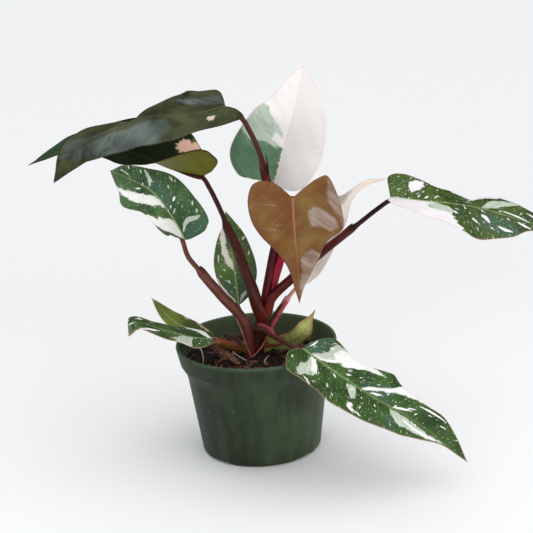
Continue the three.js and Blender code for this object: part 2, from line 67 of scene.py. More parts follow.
# %% [markdown]
# ## Camera
#
# The photograph looks down on the plant by 18 degrees, from about a metre and a half, and the
# camera was held a little askew. The camera is aimed at a point in the middle of the leaves and
# turned about its own line of sight by that small roll.

# %% Camera
AIM = np.array([14.0, 0.0, 179.9]) * MM
DISTANCE = 1.5
DOWN = math.radians(18.09)
ROLL = math.radians(-3.29)
LENS = 107.66

forward = np.array([0, math.cos(DOWN), -math.sin(DOWN)])
level = np.array([1.0, 0, 0])
upright = np.cross(level, forward)
camera_right = math.cos(ROLL) * level + math.sin(ROLL) * upright
camera_up = math.cos(ROLL) * upright - math.sin(ROLL) * level

bpy.ops.object.select_all(action="DESELECT")
bpy.ops.object.camera_add()
camera = bpy.context.object
turn = np.eye(4)
turn[:3, 0], turn[:3, 1], turn[:3, 2] = camera_right, camera_up, -forward
turn[:3, 3] = AIM - forward * DISTANCE
camera.matrix_world = [list(row) for row in turn.T]
camera.data.sensor_width = 36
camera.data.lens = LENS
bpy.context.scene.camera = camera
bpy.context.scene.view_settings.view_transform = "Standard"
print("camera at mm:", [round(x / MM) for x in turn[:3, 3]])

# %% [markdown]
# ## Curves
#
# A stalk or a midrib is given by a few points that it runs through. The first helper turns such
# points into a smooth line, and the second one walks along that line by millimetres, so that the
# same number of millimetres is always the same length of leaf.

# %% Smooth lines
def smooth(points, t):
    """A smooth line through points, at the shares t of its length in points."""
    p = np.asarray(points, float)
    last = len(p) - 1
    p = np.vstack([2 * p[0] - p[1], p, 2 * p[-1] - p[-2]])
    x = np.clip(t, 0, 1) * last
    i = np.minimum(np.floor(x).astype(int), last - 1)
    f = (x - i)[..., None]
    a, b, c, d = p[i], p[i + 1], p[i + 2], p[i + 3]
    return 0.5 * (2 * b + (c - a) * f + (2 * a - 5 * b + 4 * c - d) * f**2 + (3 * b - a - 3 * c + d) * f**3)


def unit(v):
    return v / np.maximum(np.linalg.norm(v, axis=-1, keepdims=True), 1e-12)


class Line:
    """A line that is walked by its length."""

    def __init__(self, points, steps=600):
        self.points = smooth(points, np.linspace(0, 1, steps + 1))
        pieces = np.linalg.norm(np.diff(self.points, axis=0), axis=1)
        self.run = np.concatenate([[0], np.cumsum(pieces)])
        self.length = self.run[-1]

    def at(self, along):
        return np.stack([np.interp(along, self.run, self.points[:, k]) for k in range(3)], -1)

    def heading(self, along):
        step = self.length / 300
        ahead = self.at(np.clip(along + step, 0, self.length))
        return unit(ahead - self.at(np.clip(along - step, 0, self.length)))


def between(keys, share):
    """Values given at the start, middle and end, at a share of the length."""
    keys = np.asarray(keys, float)
    x = np.clip(share, 0, 1) * (len(keys) - 1)
    i = np.minimum(np.floor(x).astype(int), len(keys) - 2)
    f = (x - i)[..., None]
    return keys[i] * (1 - f) + keys[i + 1] * f


def looking(azimuth, height):
    a, h = math.radians(azimuth), math.radians(height)
    return [math.cos(h) * math.cos(a), math.cos(h) * math.sin(a), math.sin(h)]


def hill(x, low, high):
    """0 below low, 1 above high and smooth between."""
    f = np.clip((x - low) / (high - low), 0, 1)
    return f * f * (3 - 2 * f)


# %% [markdown]
# ## A grid laid on a form
#
# Leaves and stalks grow in forms that a box or a cylinder doesn't lead to. Blender's grid is the
# better start: a flat net of squares, whose every point is then laid where the form wants it. Points
# that fall on one place, as at the tip of a leaf, are merged afterwards.

# %% Lay a grid
# One unit of a piece's own map, in millimetres.
CHART_UNIT = 100.0


def laid_grid(name, rows, columns, lay):
    """A grid whose points go where lay(down, across) puts them, with down and across from 0 to 1.

    lay returns the places in millimetres, a map of two values for each point, and named values.
    """
    bpy.ops.object.select_all(action="DESELECT")
    bpy.ops.mesh.primitive_grid_add(x_subdivisions=rows, y_subdivisions=columns, size=2)
    piece = bpy.context.object
    piece.name = piece.data.name = name
    mesh = piece.data
    flat = np.zeros(len(mesh.vertices) * 3)
    mesh.vertices.foreach_get("co", flat)
    flat = flat.reshape(-1, 3)
    places, chart, values = lay((flat[:, 0] + 1) / 2, (flat[:, 1] + 1) / 2)
    mesh.vertices.foreach_set("co", (places * MM).ravel())
    corner = np.zeros(len(mesh.loops), int)
    mesh.loops.foreach_get("vertex_index", corner)
    mesh.uv_layers[0].data.foreach_set("uv", chart[corner].astype(np.float32).ravel())
    for label, value in values.items():
        kind = "FLOAT_VECTOR" if value.ndim == 2 else "FLOAT"
        field = "vector" if value.ndim == 2 else "value"
        layer = mesh.attributes.new(label, kind, "POINT")
        layer.data.foreach_set(field, value.astype(np.float32).ravel())
    mesh.update()
    return piece


def edit(piece, *steps):
    """Runs edit mode steps on the whole of one piece."""
    bpy.ops.object.select_all(action="DESELECT")
    piece.select_set(True)
    bpy.context.view_layer.objects.active = piece
    bpy.ops.object.mode_set(mode="EDIT")
    bpy.ops.mesh.select_all(action="SELECT")
    for step in steps:
        step()
    bpy.ops.object.mode_set(mode="OBJECT")


def weld(distance=0.00001):
    bpy.ops.mesh.remove_doubles(threshold=distance)


def face_out():
    bpy.ops.mesh.normals_make_consistent(inside=False)


def modified(piece, kind, **values):
    """Adds one modifier with these values and applies it."""
    bpy.ops.object.select_all(action="DESELECT")
    piece.select_set(True)
    bpy.context.view_layer.objects.active = piece
    modifier = piece.modifiers.new(kind.lower(), kind)
    for label, value in values.items():
        setattr(modifier, label, value)
    bpy.ops.object.modifier_apply(modifier=modifier.name)
    return piece


# %% [markdown]
# ## The leaves, by their numbers
#
# A philodendron leaf is a flat heart that has been folded a little along its midrib and then bent.
# So each one is given as it would be cut from paper and then shaped: the flat outline of each half,
# the midrib's path in space, the way that the face looks and how far each half is folded up.

# %% Leaf forms in millimetres and degrees
LEAVES = {
    "dark_large": dict(
        rib=[(-15, -7, 337), (-44, -18, 334), (-92, -23, 334), (-147, -27, 313), (-173, -34, 282)],
        face=[(-98, 80), (-97, 78), (-140, 50)], fold=[(2, 24), (-13, -25), (-12, 11)],
        left=[(-6, 14), (-1, 38), (31, 35), (68, 45), (135, 25), (158, 15)],
        right=[(-2, 19), (13, 30), (34, 44), (68, 41), (135, 28), (158, 16)],
    ),
    "dark_folded": dict(
        rib=[(-40, 18, 267), (-69, 20, 275), (-109, 26, 292), (-154, 22, 303), (-203, 24, 285)],
        face=[(-95, 83), (-95, 61), (-113, 43)], fold=[(58, 22), (14, 24), (9, 9)],
        left=[(-8, 13), (-8, 33), (27, 49), (69, 35), (110, 16), (148, 5)],
        right=[(-7, 12), (5, 31), (26, 48), (73, 36), (110, 15), (149, 5)],
    ),
    "half_white": dict(
        rib=[(27, 22, 254), (38, 32, 290), (47, 33, 317), (60, 46, 360)],
        face=[(-105, 18), (-95, 15), (-89, 11)], fold=[(16, 30), (21, 19), (6, 9)],
        left=[(0, 22), (1, 37), (22, 49), (61, 39), (79, 23), (102, 11)],
        right=[(-4, 19), (3, 37), (26, 43), (55, 39), (84, 25), (102, 12)],
    ),
    "bronze_new": dict(
        rib=[(41, -46, 258), (41, -53, 225), (42, -59, 202), (42, -60, 163)],
        face=[(-86, 12), (-79, 2), (-79, -8)], fold=[(10, 11), (27, 33), (15, 18)],
        left=[(-16, 22), (-15, 35), (25, 45), (43, 29), (63, 15), (82, 5)],
        right=[(-16, 19), (-13, 38), (17, 42), (41, 29), (60, 12), (83, 4)],
    ),
    "speckled_left": dict(
        rib=[(-60, -26, 219), (-69, -23, 238), (-87, -32, 269), (-120, -46, 293)],
        face=[(-57, 60), (-78, 43), (-97, 25)], fold=[(43, 11), (12, 3), (-10, 4)],
        left=[(3, 9), (7, 26), (22, 33), (50, 25), (79, 26), (88, 14)],
        right=[(-3, 9), (-1, 27), (21, 33), (47, 27), (68, 17), (91, 10)],
    ),
    "speckled_right": dict(
        rib=[(133, 0, 240), (160, -5, 237), (208, -7, 229), (262, -16, 212), (283, -20, 203)],
        face=[(-89, 73), (-90, 66), (-91, 42)], fold=[(13, 27), (-33, -1), (19, 1)],
        left=[(-3, 13), (-4, 30), (28, 36), (79, 41), (113, 20), (135, 10)],
        right=[(0, 10), (2, 29), (34, 37), (82, 40), (117, 23), (133, 9)],
    ),
    "upright_small": dict(
        rib=[(-15, 22, 136), (-16, 28, 150), (-17, 32, 168), (-20, 36, 202), (-22, 42, 224)],
        face=[(-69, 17), (-80, 16), (-89, 14)], fold=[(28, 11), (16, 10), (11, 9)],
        left=[(3, 5), (10, 14), (23, 20), (42, 21), (63, 14), (78, 5)],
        right=[(2, 5), (10, 14), (23, 20), (41, 21), (66, 15), (82, 6)],
    ),
    "speckled_low": dict(
        rib=[(43, -59, 118), (72, -79, 100), (105, -101, 82), (139, -111, 62), (184, -123, 25)],
        face=[(-68, 72), (-69, 58), (-67, 35)], fold=[(-5, 6), (-9, 16), (20, 0)],
        left=[(0, 17), (12, 37), (44, 30), (81, 40), (114, 23), (147, 19)],
        right=[(-6, 15), (8, 36), (33, 35), (67, 41), (117, 25), (153, 4)],
    ),
    "low_left": dict(
        rib=[(-41, -22, 118), (-64, -28, 125), (-85, -39, 137), (-109, -52, 150), (-116, -52, 137)],
        face=[(-92, 82), (-94, 71), (-155, 43)], fold=[(10, -5), (-1, -9), (-9, 8)],
        left=[(0, 6), (5, 17), (15, 23), (40, 17), (67, 14), (86, 10)],
        right=[(1, 6), (4, 17), (17, 23), (40, 17), (66, 13), (85, 11)],
    ),
    "olive_small": dict(
        rib=[(14, 1, 102), (31, 4, 102), (46, 2, 112), (58, 13, 129)],
        face=[(110, 34), (98, 20), (88, 10)], fold=[(0, -13), (17, -8), (9, 10)],
        left=[(-6, 3), (-4, 15), (11, 13), (26, 13), (37, 11), (49, 3)],
        right=[(-3, 3), (-5, 14), (11, 13), (25, 13), (38, 11), (51, 3)],
    ),
    "peach": dict(
        rib=[(43, 10, 157), (54, 16, 177), (66, 18, 201), (82, 20, 227), (107, 21, 247), (130, 17, 254)],
        face=[(-114, 11), (-101, 10), (-58, 20)], fold=[(14, 17), (14, 14), (10, 10)],
        left=[(-1, 5), (8, 12), (27, 18), (77, 18), (96, 4), (122, 3)],
        right=[(2, 5), (8, 12), (27, 18), (74, 17), (98, 6), (112, 3)],
    ),
    "olive_low": dict(
        rib=[(-42, 8, 108), (-62, 15, 114), (-81, 15, 128), (-98, 21, 148)],
        face=[(-69, 51), (-77, 45), (-87, 36)], fold=[(21, 6), (24, 3), (10, 10)],
        left=[(-2, 5), (-1, 13), (14, 13), (30, 13), (48, 8), (62, 4)],
        right=[(0, 2), (3, 6), (14, 9.5), (29, 11.5), (48, 8), (62, 4)],
    ),
}

# %% [markdown]
# ## From the flat outline to the bent leaf
#
# One rule bends every leaf. A point of the flat leaf is known by how far along the midrib it lies and
# how far out from it, with the left half negative. The rule walks that far along the midrib, then
# steps sideways in the plane of its own half. A slow ripple lifts the margins.

# %% The bending rule
RIPPLE = 1.0
VEIN_SLOPE = 0.5


class Blade:
    """The form of one leaf blade."""

    def __init__(self, form):
        self.form = form
        self.rib = Line(form["rib"])
        self.length = self.rib.length
        self.reach = max(out for half in ("left", "right") for _, out in form[half])
        self.faces = [looking(*key) for key in form["face"]]

    def rows(self, t):
        """Where row t starts on the midrib, and its ends on the left and right margin."""
        ends = []
        for half in ("left", "right"):
            points = [(0, 0), *self.form[half], (self.length, 0)]
            ends.append(smooth(points, t))
        left, right = ends
        start = (left[:, 0] + right[:, 0]) / 2 - VEIN_SLOPE * (left[:, 1] + right[:, 1]) / 2
        start = np.clip(np.maximum.accumulate(np.maximum(start, 0)), 0, self.length)
        start[-1] = self.length
        return start, left, right

    def lay(self, along, out, lift=0.0):
        """The place of a point of the flat leaf, lifted off the sheet by lift."""
        inside = np.clip(along, 0, self.length)
        share = inside / self.length
        heading = self.rib.heading(inside)
        centre = self.rib.at(inside) + heading * (along - inside)[:, None]
        across = unit(np.cross(heading, between(self.faces, share)))
        normal = np.cross(across, heading)
        folds = np.radians(between(self.form["fold"], share))
        right = out > 0
        fold = np.where(right, folds[:, 1], folds[:, 0])
        far = np.abs(out)
        wave = RIPPLE * (far / self.reach) ** 2 * np.sin(along / self.reach * 4 + right * 2.0)
        place = centre + across * (out * np.cos(fold))[:, None]
        return place + normal * (far * np.sin(fold) + wave + lift)[:, None], normal


blades = {name: Blade(form) for name, form in LEAVES.items()}
print("leaf lengths mm:", {name: round(blade.length) for name, blade in blades.items()})

# %% [markdown]
# ## Where the colours lie
#
# A variegated leaf is a patchwork of cells that can make green and cells that can't. The patches
# grow outwards with the leaf, so they are wedges and streaks that lean along the side veins. The
# large ones are given on the flat leaf, in millimetres along the midrib and out from it, as
# a closed outline or as a streak with a width. Their ragged edges and the small flecks are left to
# the material, because those are the same everywhere.

# %% Patches of each leaf
# A shape is (width, points). Width 0 closes the points to an outline.
PATCHES = {
    "dark_large": {
        "white": [
            (0, [(17, -14), (19, -19), (21, -21), (24, -17), (22, -12)]),
        ],
        # Gloss patches: a clear coat, and a paler colour painted in as painted sheen.
        "gloss": [
            (0, [(52, -10), (56, -26), (66, -44), (95, -42), (130, -27), (116, -25), (104, -17), (88, -9),
                 (66, -7)]),
            (0, [(90, -12), (104, -20), (120, -24), (134, -20), (150, -14), (156, -5), (146, -2),
                 (124, -5), (106, -6)]),
            (0, [(-2, 2), (10, 6), (24, 13), (36, 21), (52, 37), (40, 34), (24, 24), (8, 17), (-2, 16)]),
            (0, [(126, 3), (150, 0), (162, 4), (156, 14), (142, 16), (132, 10)]),
        ],
    },
    "dark_folded": {
        "white": [
            (0, [(8, 33), (10, 29), (14, 27), (15, 23.5), (18, 25.5), (21, 20), (24, 23), (29, 19),
                 (30, 23), (36, 22), (34, 26), (38, 27), (33, 30), (35, 33), (30, 34), (31, 38), (26, 37),
                 (22, 40), (18, 36), (13, 40), (10, 37)]),
        ],
        # On this leaf the mint patch is an olive colour, painted lighter where the blade lies in light:
        # painted light.
        "mint": [
            (0, [(-2, 44), (0, 30), (8, 22), (16, 16), (24, 17), (26, 22), (24, 32), (16, 44)]),
        ],
        "grey": [
            (0, [(112, -30), (122, -6), (132, 0), (122, 8), (112, 30), (220, 30), (220, -30)]),
        ],
    },
    "half_white": {
        "white": [
            (0, [(-8, -1), (34, -1), (37, -9), (40, -14), (48, -12), (44, -3), (50, -7), (58, -17),
                 (68, -26), (74, -34), (125, -20), (125, 60), (-20, 60)]),
        ],
        "mint": [
            (0, [(32, -2), (34, -12), (37, -20), (35, -32), (39, -41), (52, -46), (72, -40), (72, -28),
                 (62, -18), (54, -9), (46, -2)]),
        ],
    },
    "bronze_new": {
        # Gloss patches: a clear coat, and a paler colour painted in as painted sheen.
        "gloss": [
            (0, [(-17, -33), (-4, -31), (6, -32), (14, -37), (19, -41), (30, -44), (20, -50),
                 (-20, -42)]),
            (0, [(9, -17), (9, -23), (13, -30), (20, -38), (28, -41), (31, -34), (27, -24), (26, -15),
                 (13, -13)]),
            (0, [(48, -14), (52, -24), (62, -20), (76, -10), (94, -2), (80, -1), (66, -4), (56, -3),
                 (51, -8)]), (0.5, [(-14, 18), (-6, 24), (-2, 32)]), (0.4, [(6, 14), (4, 26), (2, 38)]),
            (0.6, [(22, 10), (23, 16), (22, 21)]), (0.5, [(29, 14), (26, 24), (24, 34)]),
        ],
    },
    "speckled_left": {
        "white": [
            (0, [(2, 0), (18, -1), (25, -5), (33, -14), (39, -17), (38, -20), (50, -23), (54, -27),
                 (42, -28), (30, -28), (14, -24), (7, -18), (3, -9)]),
            (0, [(34, 0), (42, -5), (50, -12), (60, -16), (68, -18.5), (76, -18), (84, -16), (92, -11),
                 (80, -11), (68, -9), (60, -6), (52, -2.5), (44, 0)]), (0.6, [(68, -4), (75, -6)]),
            (0.5, [(63, -2), (69, 0.5)]), (1.1, [(25, 4), (28, 8)]), (0.9, [(31, 3.5), (33, 6.5)]),
            (1.7, [(34, 10), (36, 15)]), (0.8, [(23, 14), (25, 17)]), (0.9, [(45, 14), (48, 16)]),
            (0.7, [(46, 22), (51, 23)]), (0.7, [(44, 3), (47, 5)]), (0.6, [(53, 8), (55, 12)]),
            (0.7, [(14, 23), (16, 27)]), (0.6, [(19, 25), (21, 29)]), (0.4, [(82, 3), (93, 5)]),
        ],
        "mint": [
            (2.4, [(7, 3), (12, 7), (13.5, 14), (12, 20), (12, 26)]), (2.3, [(61, 3), (64, 9), (71, 14)]),
            (2.0, [(12, -15), (18, -18), (24, -21)]),
        ],
        "grey": [
            (0, [(-6, 1), (8, 2), (11, 12), (10, 32), (-8, 32)]),
            (0, [(28, 2), (64, 1), (70, 12), (52, 12), (36, 9)]),
        ],
    },
    "speckled_right": {
        "white": [
            (0, [(14, -19), (14, -26), (18, -28), (20, -32), (25, -32), (31, -34.5), (30, -29), (33, -26),
                 (28, -23), (27, -18), (22, -15), (18.5, -9), (17, -14)]),
            (0, [(58, -50), (60, -38.5), (70, -37.5), (80, -37.5), (90, -32), (98, -27.5), (106, -50)]),
            (1.2, [(25, -4), (27, -10)]), (1.5, [(31, -4), (37, -11)]),
            (1.6, [(41, -7), (45, -13), (48, -19)]), (1.3, [(44, -27), (47, -33)]),
            (0.8, [(35, -14), (36, -18)]), (1.0, [(7, -12), (9, -15)]),
            (0.9, [(70, -4), (74, -25), (78, -42)]), (1.2, [(103, -5), (115, -3), (131, 0)]),
            (0, [(-4, 0), (6, -1.5), (32, 0.5), (46, 3), (34, 6), (35, 14), (45, 18), (56, 18), (54, 21),
                 (59, 24), (56, 27), (62, 30), (59, 33), (68, 37), (64, 44), (40, 45), (-10, 36),
                 (-4, 10)]), (1.8, [(57, 12), (63, 17)]), (1.3, [(61, 6), (63, 10)]),
            (1.1, [(68, 3), (71, 7)]), (2.6, [(86, 8), (90, 10), (95, 15)]),
            (1.7, [(76, 16), (80, 18), (86, 21)]), (1.0, [(84, 2), (89, 4)]),
            (2.0, [(103, 16), (110, 17), (118, 16.5)]), (1.2, [(96, 20), (101, 21.5)]),
            (0.9, [(109, 2.5), (113, 5)]), (1.0, [(71, 23), (73, 26)]), (0.9, [(83, 27), (86, 29)]),
            (0.9, [(67, 28), (70, 30)]), (1.4, [(120, 4), (134, 7)]), (1.0, [(126, -9), (142, -3)]),
        ],
        "mint": [
            (0, [(32, 4), (42, 3), (50, 5), (55, 8), (58, 13), (56, 19), (45, 18), (36, 13)]),
            (0, [(84, -3), (88, -13), (90, -22), (95, -24), (104, -23), (119, -17), (108, -14),
                 (102, -12), (99, -8), (93, -5), (88, -2)]),
        ],
        "grey": [
            (0, [(86, 3), (120, 8), (125, 18), (112, 26), (92, 24), (84, 12)]),
        ],
    },
    "upright_small": {
        "white": [
            (0, [(31, -0.5), (38, -4.5), (43, -9), (48, -8.5), (52, -11), (58, -9.5), (66, -10), (80, -6),
                 (78, -3), (68, -4), (60, -4.5), (56, -5.5), (52, -3.5), (47, -3.5), (42, -0.5)]),
            (1.3, [(3, -4), (10, -12), (20, -18), (29, -20.5)]), (1.3, [(21, -7), (25, -9)]),
            (0.9, [(35, -10), (37, -12)]), (0.9, [(44, -16), (52, -14)]), (1.4, [(62, 12), (65, 14)]),
            (1.1, [(46, 15), (50, 17)]),
        ],
        "mint": [
            (2.0, [(2, 2), (8, 5), (14, 11)]),
        ],
        "grey": [
            (0, [(-4, 1), (26, 2), (38, 10), (34, 26), (-8, 26)]),
            (0, [(-4, -2), (20, -3), (28, -14), (-4, -20)]),
        ],
    },
    "speckled_low": {
        "white": [
            (0, [(7, 0), (20, -1.5), (27, -6), (36, -15), (38, -12), (41, -13), (46, -20), (50, -20),
                 (53, -26), (60, -27), (76, -32), (62, -34), (50, -34), (34, -33), (24, -30), (22, -20),
                 (28, -14), (24, -8), (14, -3)]), (1.3, [(2.5, -21), (3, -14), (2, -8)]),
            (0, [(66, -2), (70, -8), (78, -14), (88, -21), (95, -25), (98, -28), (106, -32), (122, -21),
                 (104, -20.5), (96, -19), (90, -15), (84, -13.5), (78, -10), (73, -4), (69, -1)]),
            (1.5, [(76, -16), (78, -19)]), (1.4, [(46, -5.5), (50, -9)]),
            (1.1, [(44, -11.5), (47.5, -15)]), (1.0, [(57, -12), (60, -15)]), (1.9, [(77, -3), (86, -8)]),
            (1.6, [(100, -1), (109, -4.5), (118, -8)]), (0.9, [(112, -8), (121, -11.5)]),
            (1.2, [(121, -16.5), (132, -17.5), (148, -17)]), (0.7, [(145, -11), (151, -11.5)]),
            (0.7, [(131, -13), (135, -14)]),
            (0, [(9, 1), (12, 2), (17, 2), (20, 6), (25, 11), (29, 17), (26, 19), (23, 18), (20, 13),
                 (16, 8), (12, 4)]), (1.4, [(37, 2.5), (43.5, 7.5)]), (1.2, [(58, 4), (63, 8), (67, 14)]),
            (1.0, [(42.5, 20.5), (46.5, 25)]), (1.2, [(53, 28.5), (57.5, 32)]),
            (0, [(69, 25), (73, 26), (76, 31), (83, 34), (76, 35.5), (72, 33)]),
            (1.3, [(76, 20.5), (79.5, 25.5)]), (1.3, [(89, 25), (92, 28)]), (0.9, [(32, 27), (35, 29)]),
            (0.9, [(-1, 16), (1, 19.5)]), (0.8, [(70, 8), (72, 11)]),
            (2.0, [(112, 7), (126, 9), (138, 7), (150, 3)]), (1.2, [(22, 31), (28, 32), (33, 35)]),
        ],
        "mint": [
            (0, [(17, -33), (16, -24), (18, -17), (15, -8), (8, -1), (14, -1), (24, -5), (28, -13),
                 (23, -22), (31, -35)]),
            (0, [(9, 3), (13, 10), (13, 16), (10, 18), (12, 24), (11, 26), (18, 34), (21, 31), (22, 26),
                 (27, 25), (28, 19), (22, 12), (16, 5)]),
            (0, [(54, 5), (57, 2.5), (61, 2), (64, 5), (68, 10), (71, 15), (69, 20), (65, 16), (60, 12)]),
            (0, [(97, 2), (104, 3), (112, 2.5), (124, 3.5), (137, 4), (150, 1.5), (158, 0.5), (148, 5),
                 (140, 9), (128, 13), (118, 14), (113, 17), (109, 15), (104, 12), (101, 9), (100, 5)]),
        ],
        "grey": [
            (0, [(-3, -1), (14, -2), (17, -10), (15, -20), (16, -28), (8, -38), (-5, -25)]),
            (0, [(60, -2), (66, -14), (84, -24), (100, -22), (92, -8), (100, -1)]),
            (0, [(95, 14), (106, 14), (112, 24), (104, 30)]),
        ],
    },
    "low_left": {
        "white": [
            (0, [(28, -26), (38, -23), (46, -17), (38, -17), (34, -18), (28, -20)]),
            (2.0, [(57, -4), (69, -8), (82, -12)]), (1.1, [(83, 0), (89, 5)]), (1.1, [(70, 9), (79, 8)]),
            (0, [(1, 2), (4, 2), (7, 8), (10, 13), (15, 18), (22, 22), (17, 27), (8, 26), (2, 17)]),
        ],
        "mint": [
            (0, [(20, -1), (22, -9), (25, -19), (34, -20), (42, -16), (46, -11), (38, -8), (36, -4),
                 (30, -1)]),
        ],
    },
    "olive_small": {},
    "peach": {
        "grey": [
            (0, [(60, -20), (80, -16), (98, -8), (112, -4), (104, -2), (92, 2), (84, 2), (76, -4),
                 (60, -6)]), (0, [(20, -20), (44, -20), (40, -8), (24, -8)]),
        ],
    },
    "olive_low": {
        "grey": [
            (0, [(-8, -22), (24, -22), (32, -2), (26, 22), (-8, 22)]),
        ],
        "white": [
            (0, [(6, 6), (12, 12), (24, 13), (20, 10), (14, 8)]),
            (0, [(29, 9.5), (33, 13), (38, 12), (34, 9.5)]),
        ],
    },
}


# A thin streak gets a steep edge, or the noise that tears the edges would tear it to pieces.
STREAK_CUT = 2.6


def depth_in(points, width, along, out):
    """How deep a point lies in a patch, in millimetres, and below zero outside of it."""
    ends = np.asarray(points if width else [*points, points[0]], float)
    nearest = np.full(len(along), 1e9)
    share = np.zeros(len(along))
    inside = np.zeros(len(along), bool)
    for k in range(len(ends) - 1):
        (a0, o0), (a1, o1) = ends[k], ends[k + 1]
        run = (a1 - a0) ** 2 + (o1 - o0) ** 2
        f = np.clip(((along - a0) * (a1 - a0) + (out - o0) * (o1 - o0)) / run, 0, 1)
        far = np.hypot(along - a0 - f * (a1 - a0), out - o0 - f * (o1 - o0))
        share = np.where(far < nearest, (k + f) / (len(ends) - 1), share)
        nearest = np.minimum(far, nearest)
        crossed = (out < o0) != (out < o1)
        with np.errstate(divide="ignore", invalid="ignore"):
            at = a0 + (out - o0) / (o1 - o0) * (a1 - a0)
        inside ^= crossed & (along < at)
    if width:
        return STREAK_CUT * (width * (0.25 + 0.5 * np.sin(math.pi * share)) - nearest)
    return np.where(inside, nearest, -nearest)


FAR_OUTSIDE = -6.0


def patch_depth(name, kind, along, out):
    deepest = np.full(len(along), FAR_OUTSIDE)
    for width, points in PATCHES[name].get(kind, []):
        deepest = np.maximum(deepest, depth_in(points, width, along, out))
    return np.minimum(deepest, -FAR_OUTSIDE)


print("hand-placed patches:", {name: sum(map(len, kinds.values())) for name, kinds in PATCHES.items()})

# %% [markdown]
# ## A leaf as a piece
#
# The net of squares follows the side veins, so that its lines and the leaf's own run together. The
# real sheet isn't smooth between its veins: it swells up a little, sinks into a groove at the midrib
# and has a thick rib on its underside. These are lifted from the sheet before it gets its thickness.

# %% Make the leaves
# The net's rows and columns, then thicknesses, heights and gaps in millimetres.
ROWS = 132
COLUMNS = 56
THICKNESS = 0.62
SWELL = 0.2
PUCKER = {"bronze_new": 0.55, "half_white": 0.3, "speckled_right": 0.3, "speckled_low": 0.25}
PLAIN_PUCKER = 0.12
VEIN_GAP = 13.0
VEIN_LEAN = 0.55
VEIN_CURVE = 0.006
GROOVE = 0.3
RIB = 1.15


def vein_start(along, far):
    """Where the side vein through a point leaves the midrib."""
    return along - VEIN_LEAN * far - VEIN_CURVE * far**2


def make_leaf(name):
    blade = blades[name]
    relief = min(1.0, blade.reach / 30)

    def lay(down, across):
        t, row = np.unique(np.round(down, 6), return_inverse=True)
        start, left, right = (values[row] for values in blade.rows(t))
        signed = 1 - 2 * across
        share = 0.65 * np.abs(signed) + 0.35 * np.sin(np.abs(signed) * math.pi / 2)
        margin = np.where((signed > 0)[:, None], right, left)
        along = start + (margin[:, 0] - start) * share
        far = np.maximum(margin[:, 1], 0) * share
        out = far * np.sign(signed)
        left_over = margin[:, 1] * (1 - share)
        swell = np.cos(vein_start(along, far) * 2 * math.pi / VEIN_GAP)
        swell *= hill(far, 1.5, 8) * hill(left_over, 0, 5) * SWELL * relief
        fine = 0.35 * relief * hill(share, 0.6, 1) * np.sin(along / 4.3 + 3 * (signed > 0))
        pucker = PUCKER.get(name, PLAIN_PUCKER) * hill(far, 2, 10)
        fine += pucker * np.sin(along / 4.6 + out / 9) * np.cos(out / 6.3 + 0.8)
        groove = GROOVE * relief * np.exp(-((far / 1.3) ** 2)) * (1 - along / blade.length * 0.8)
        place, normal = blade.lay(along, out, swell + fine - groove)
        rib = RIB * relief * np.exp(-((far / (1.9 * relief)) ** 2)) * np.clip(1 - along / blade.length, 0, 1)
        values = {kind: patch_depth(name, kind, along, out) for kind in PATCHES[name]}
        values["rim"] = left_over + np.abs(margin[:, 0] - along) * 0.3
        values["vein"] = vein_start(along, far)
        values["under"] = -normal * rib[:, None]
        return place, np.stack([along, out], -1) / CHART_UNIT, values

    leaf = laid_grid(f"blade_{name}", ROWS, COLUMNS, lay)
    edit(leaf, weld)
    for finish in leaf_finishes(name):
        leaf.data.materials.append(finish)
    modified(leaf, "SOLIDIFY", thickness=THICKNESS * MM, offset=0, material_offset=1, material_offset_rim=0)
    thicken_rib(leaf)
    bpy.ops.object.shade_smooth()
    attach(leaf, "root")
    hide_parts(f"leaf_{name}")
    return leaf


def thicken_rib(leaf):
    """Pushes the underside out along the midrib."""
    mesh = leaf.data
    count = len(mesh.vertices)
    under = np.zeros(count * 3)
    mesh.attributes["under"].data.foreach_get("vector", under)
    top = np.zeros(count, bool)
    for polygon in mesh.polygons:
        if polygon.material_index == 0:
            top[list(polygon.vertices)] = True
    places = np.zeros(count * 3)
    mesh.vertices.foreach_get("co", places)
    places = places.reshape(-1, 3) + np.where(top[:, None], 0, under.reshape(-1, 3)) * MM
    mesh.vertices.foreach_set("co", places.ravel())
    mesh.attributes.remove(mesh.attributes["under"])
    mesh.update()


# %% [markdown]
# ## Building a finish from nodes
#
# A finish is a chain of nodes that ends in the Principled shader. Written out in full it hides what
# it means, so this small class adds one node at a time and hands back its output. Colours are given
# as a screen shows them, from 0 to 255, and turned into the linear light that a shader counts in.

# %% A helper for finishes
def paint(red, green, blue):
    shown = np.array([red, green, blue]) / 255
    linear = np.where(shown < 0.04045, shown / 12.92, ((shown + 0.055) / 1.055) ** 2.4)
    return (*map(float, linear), 1.0)


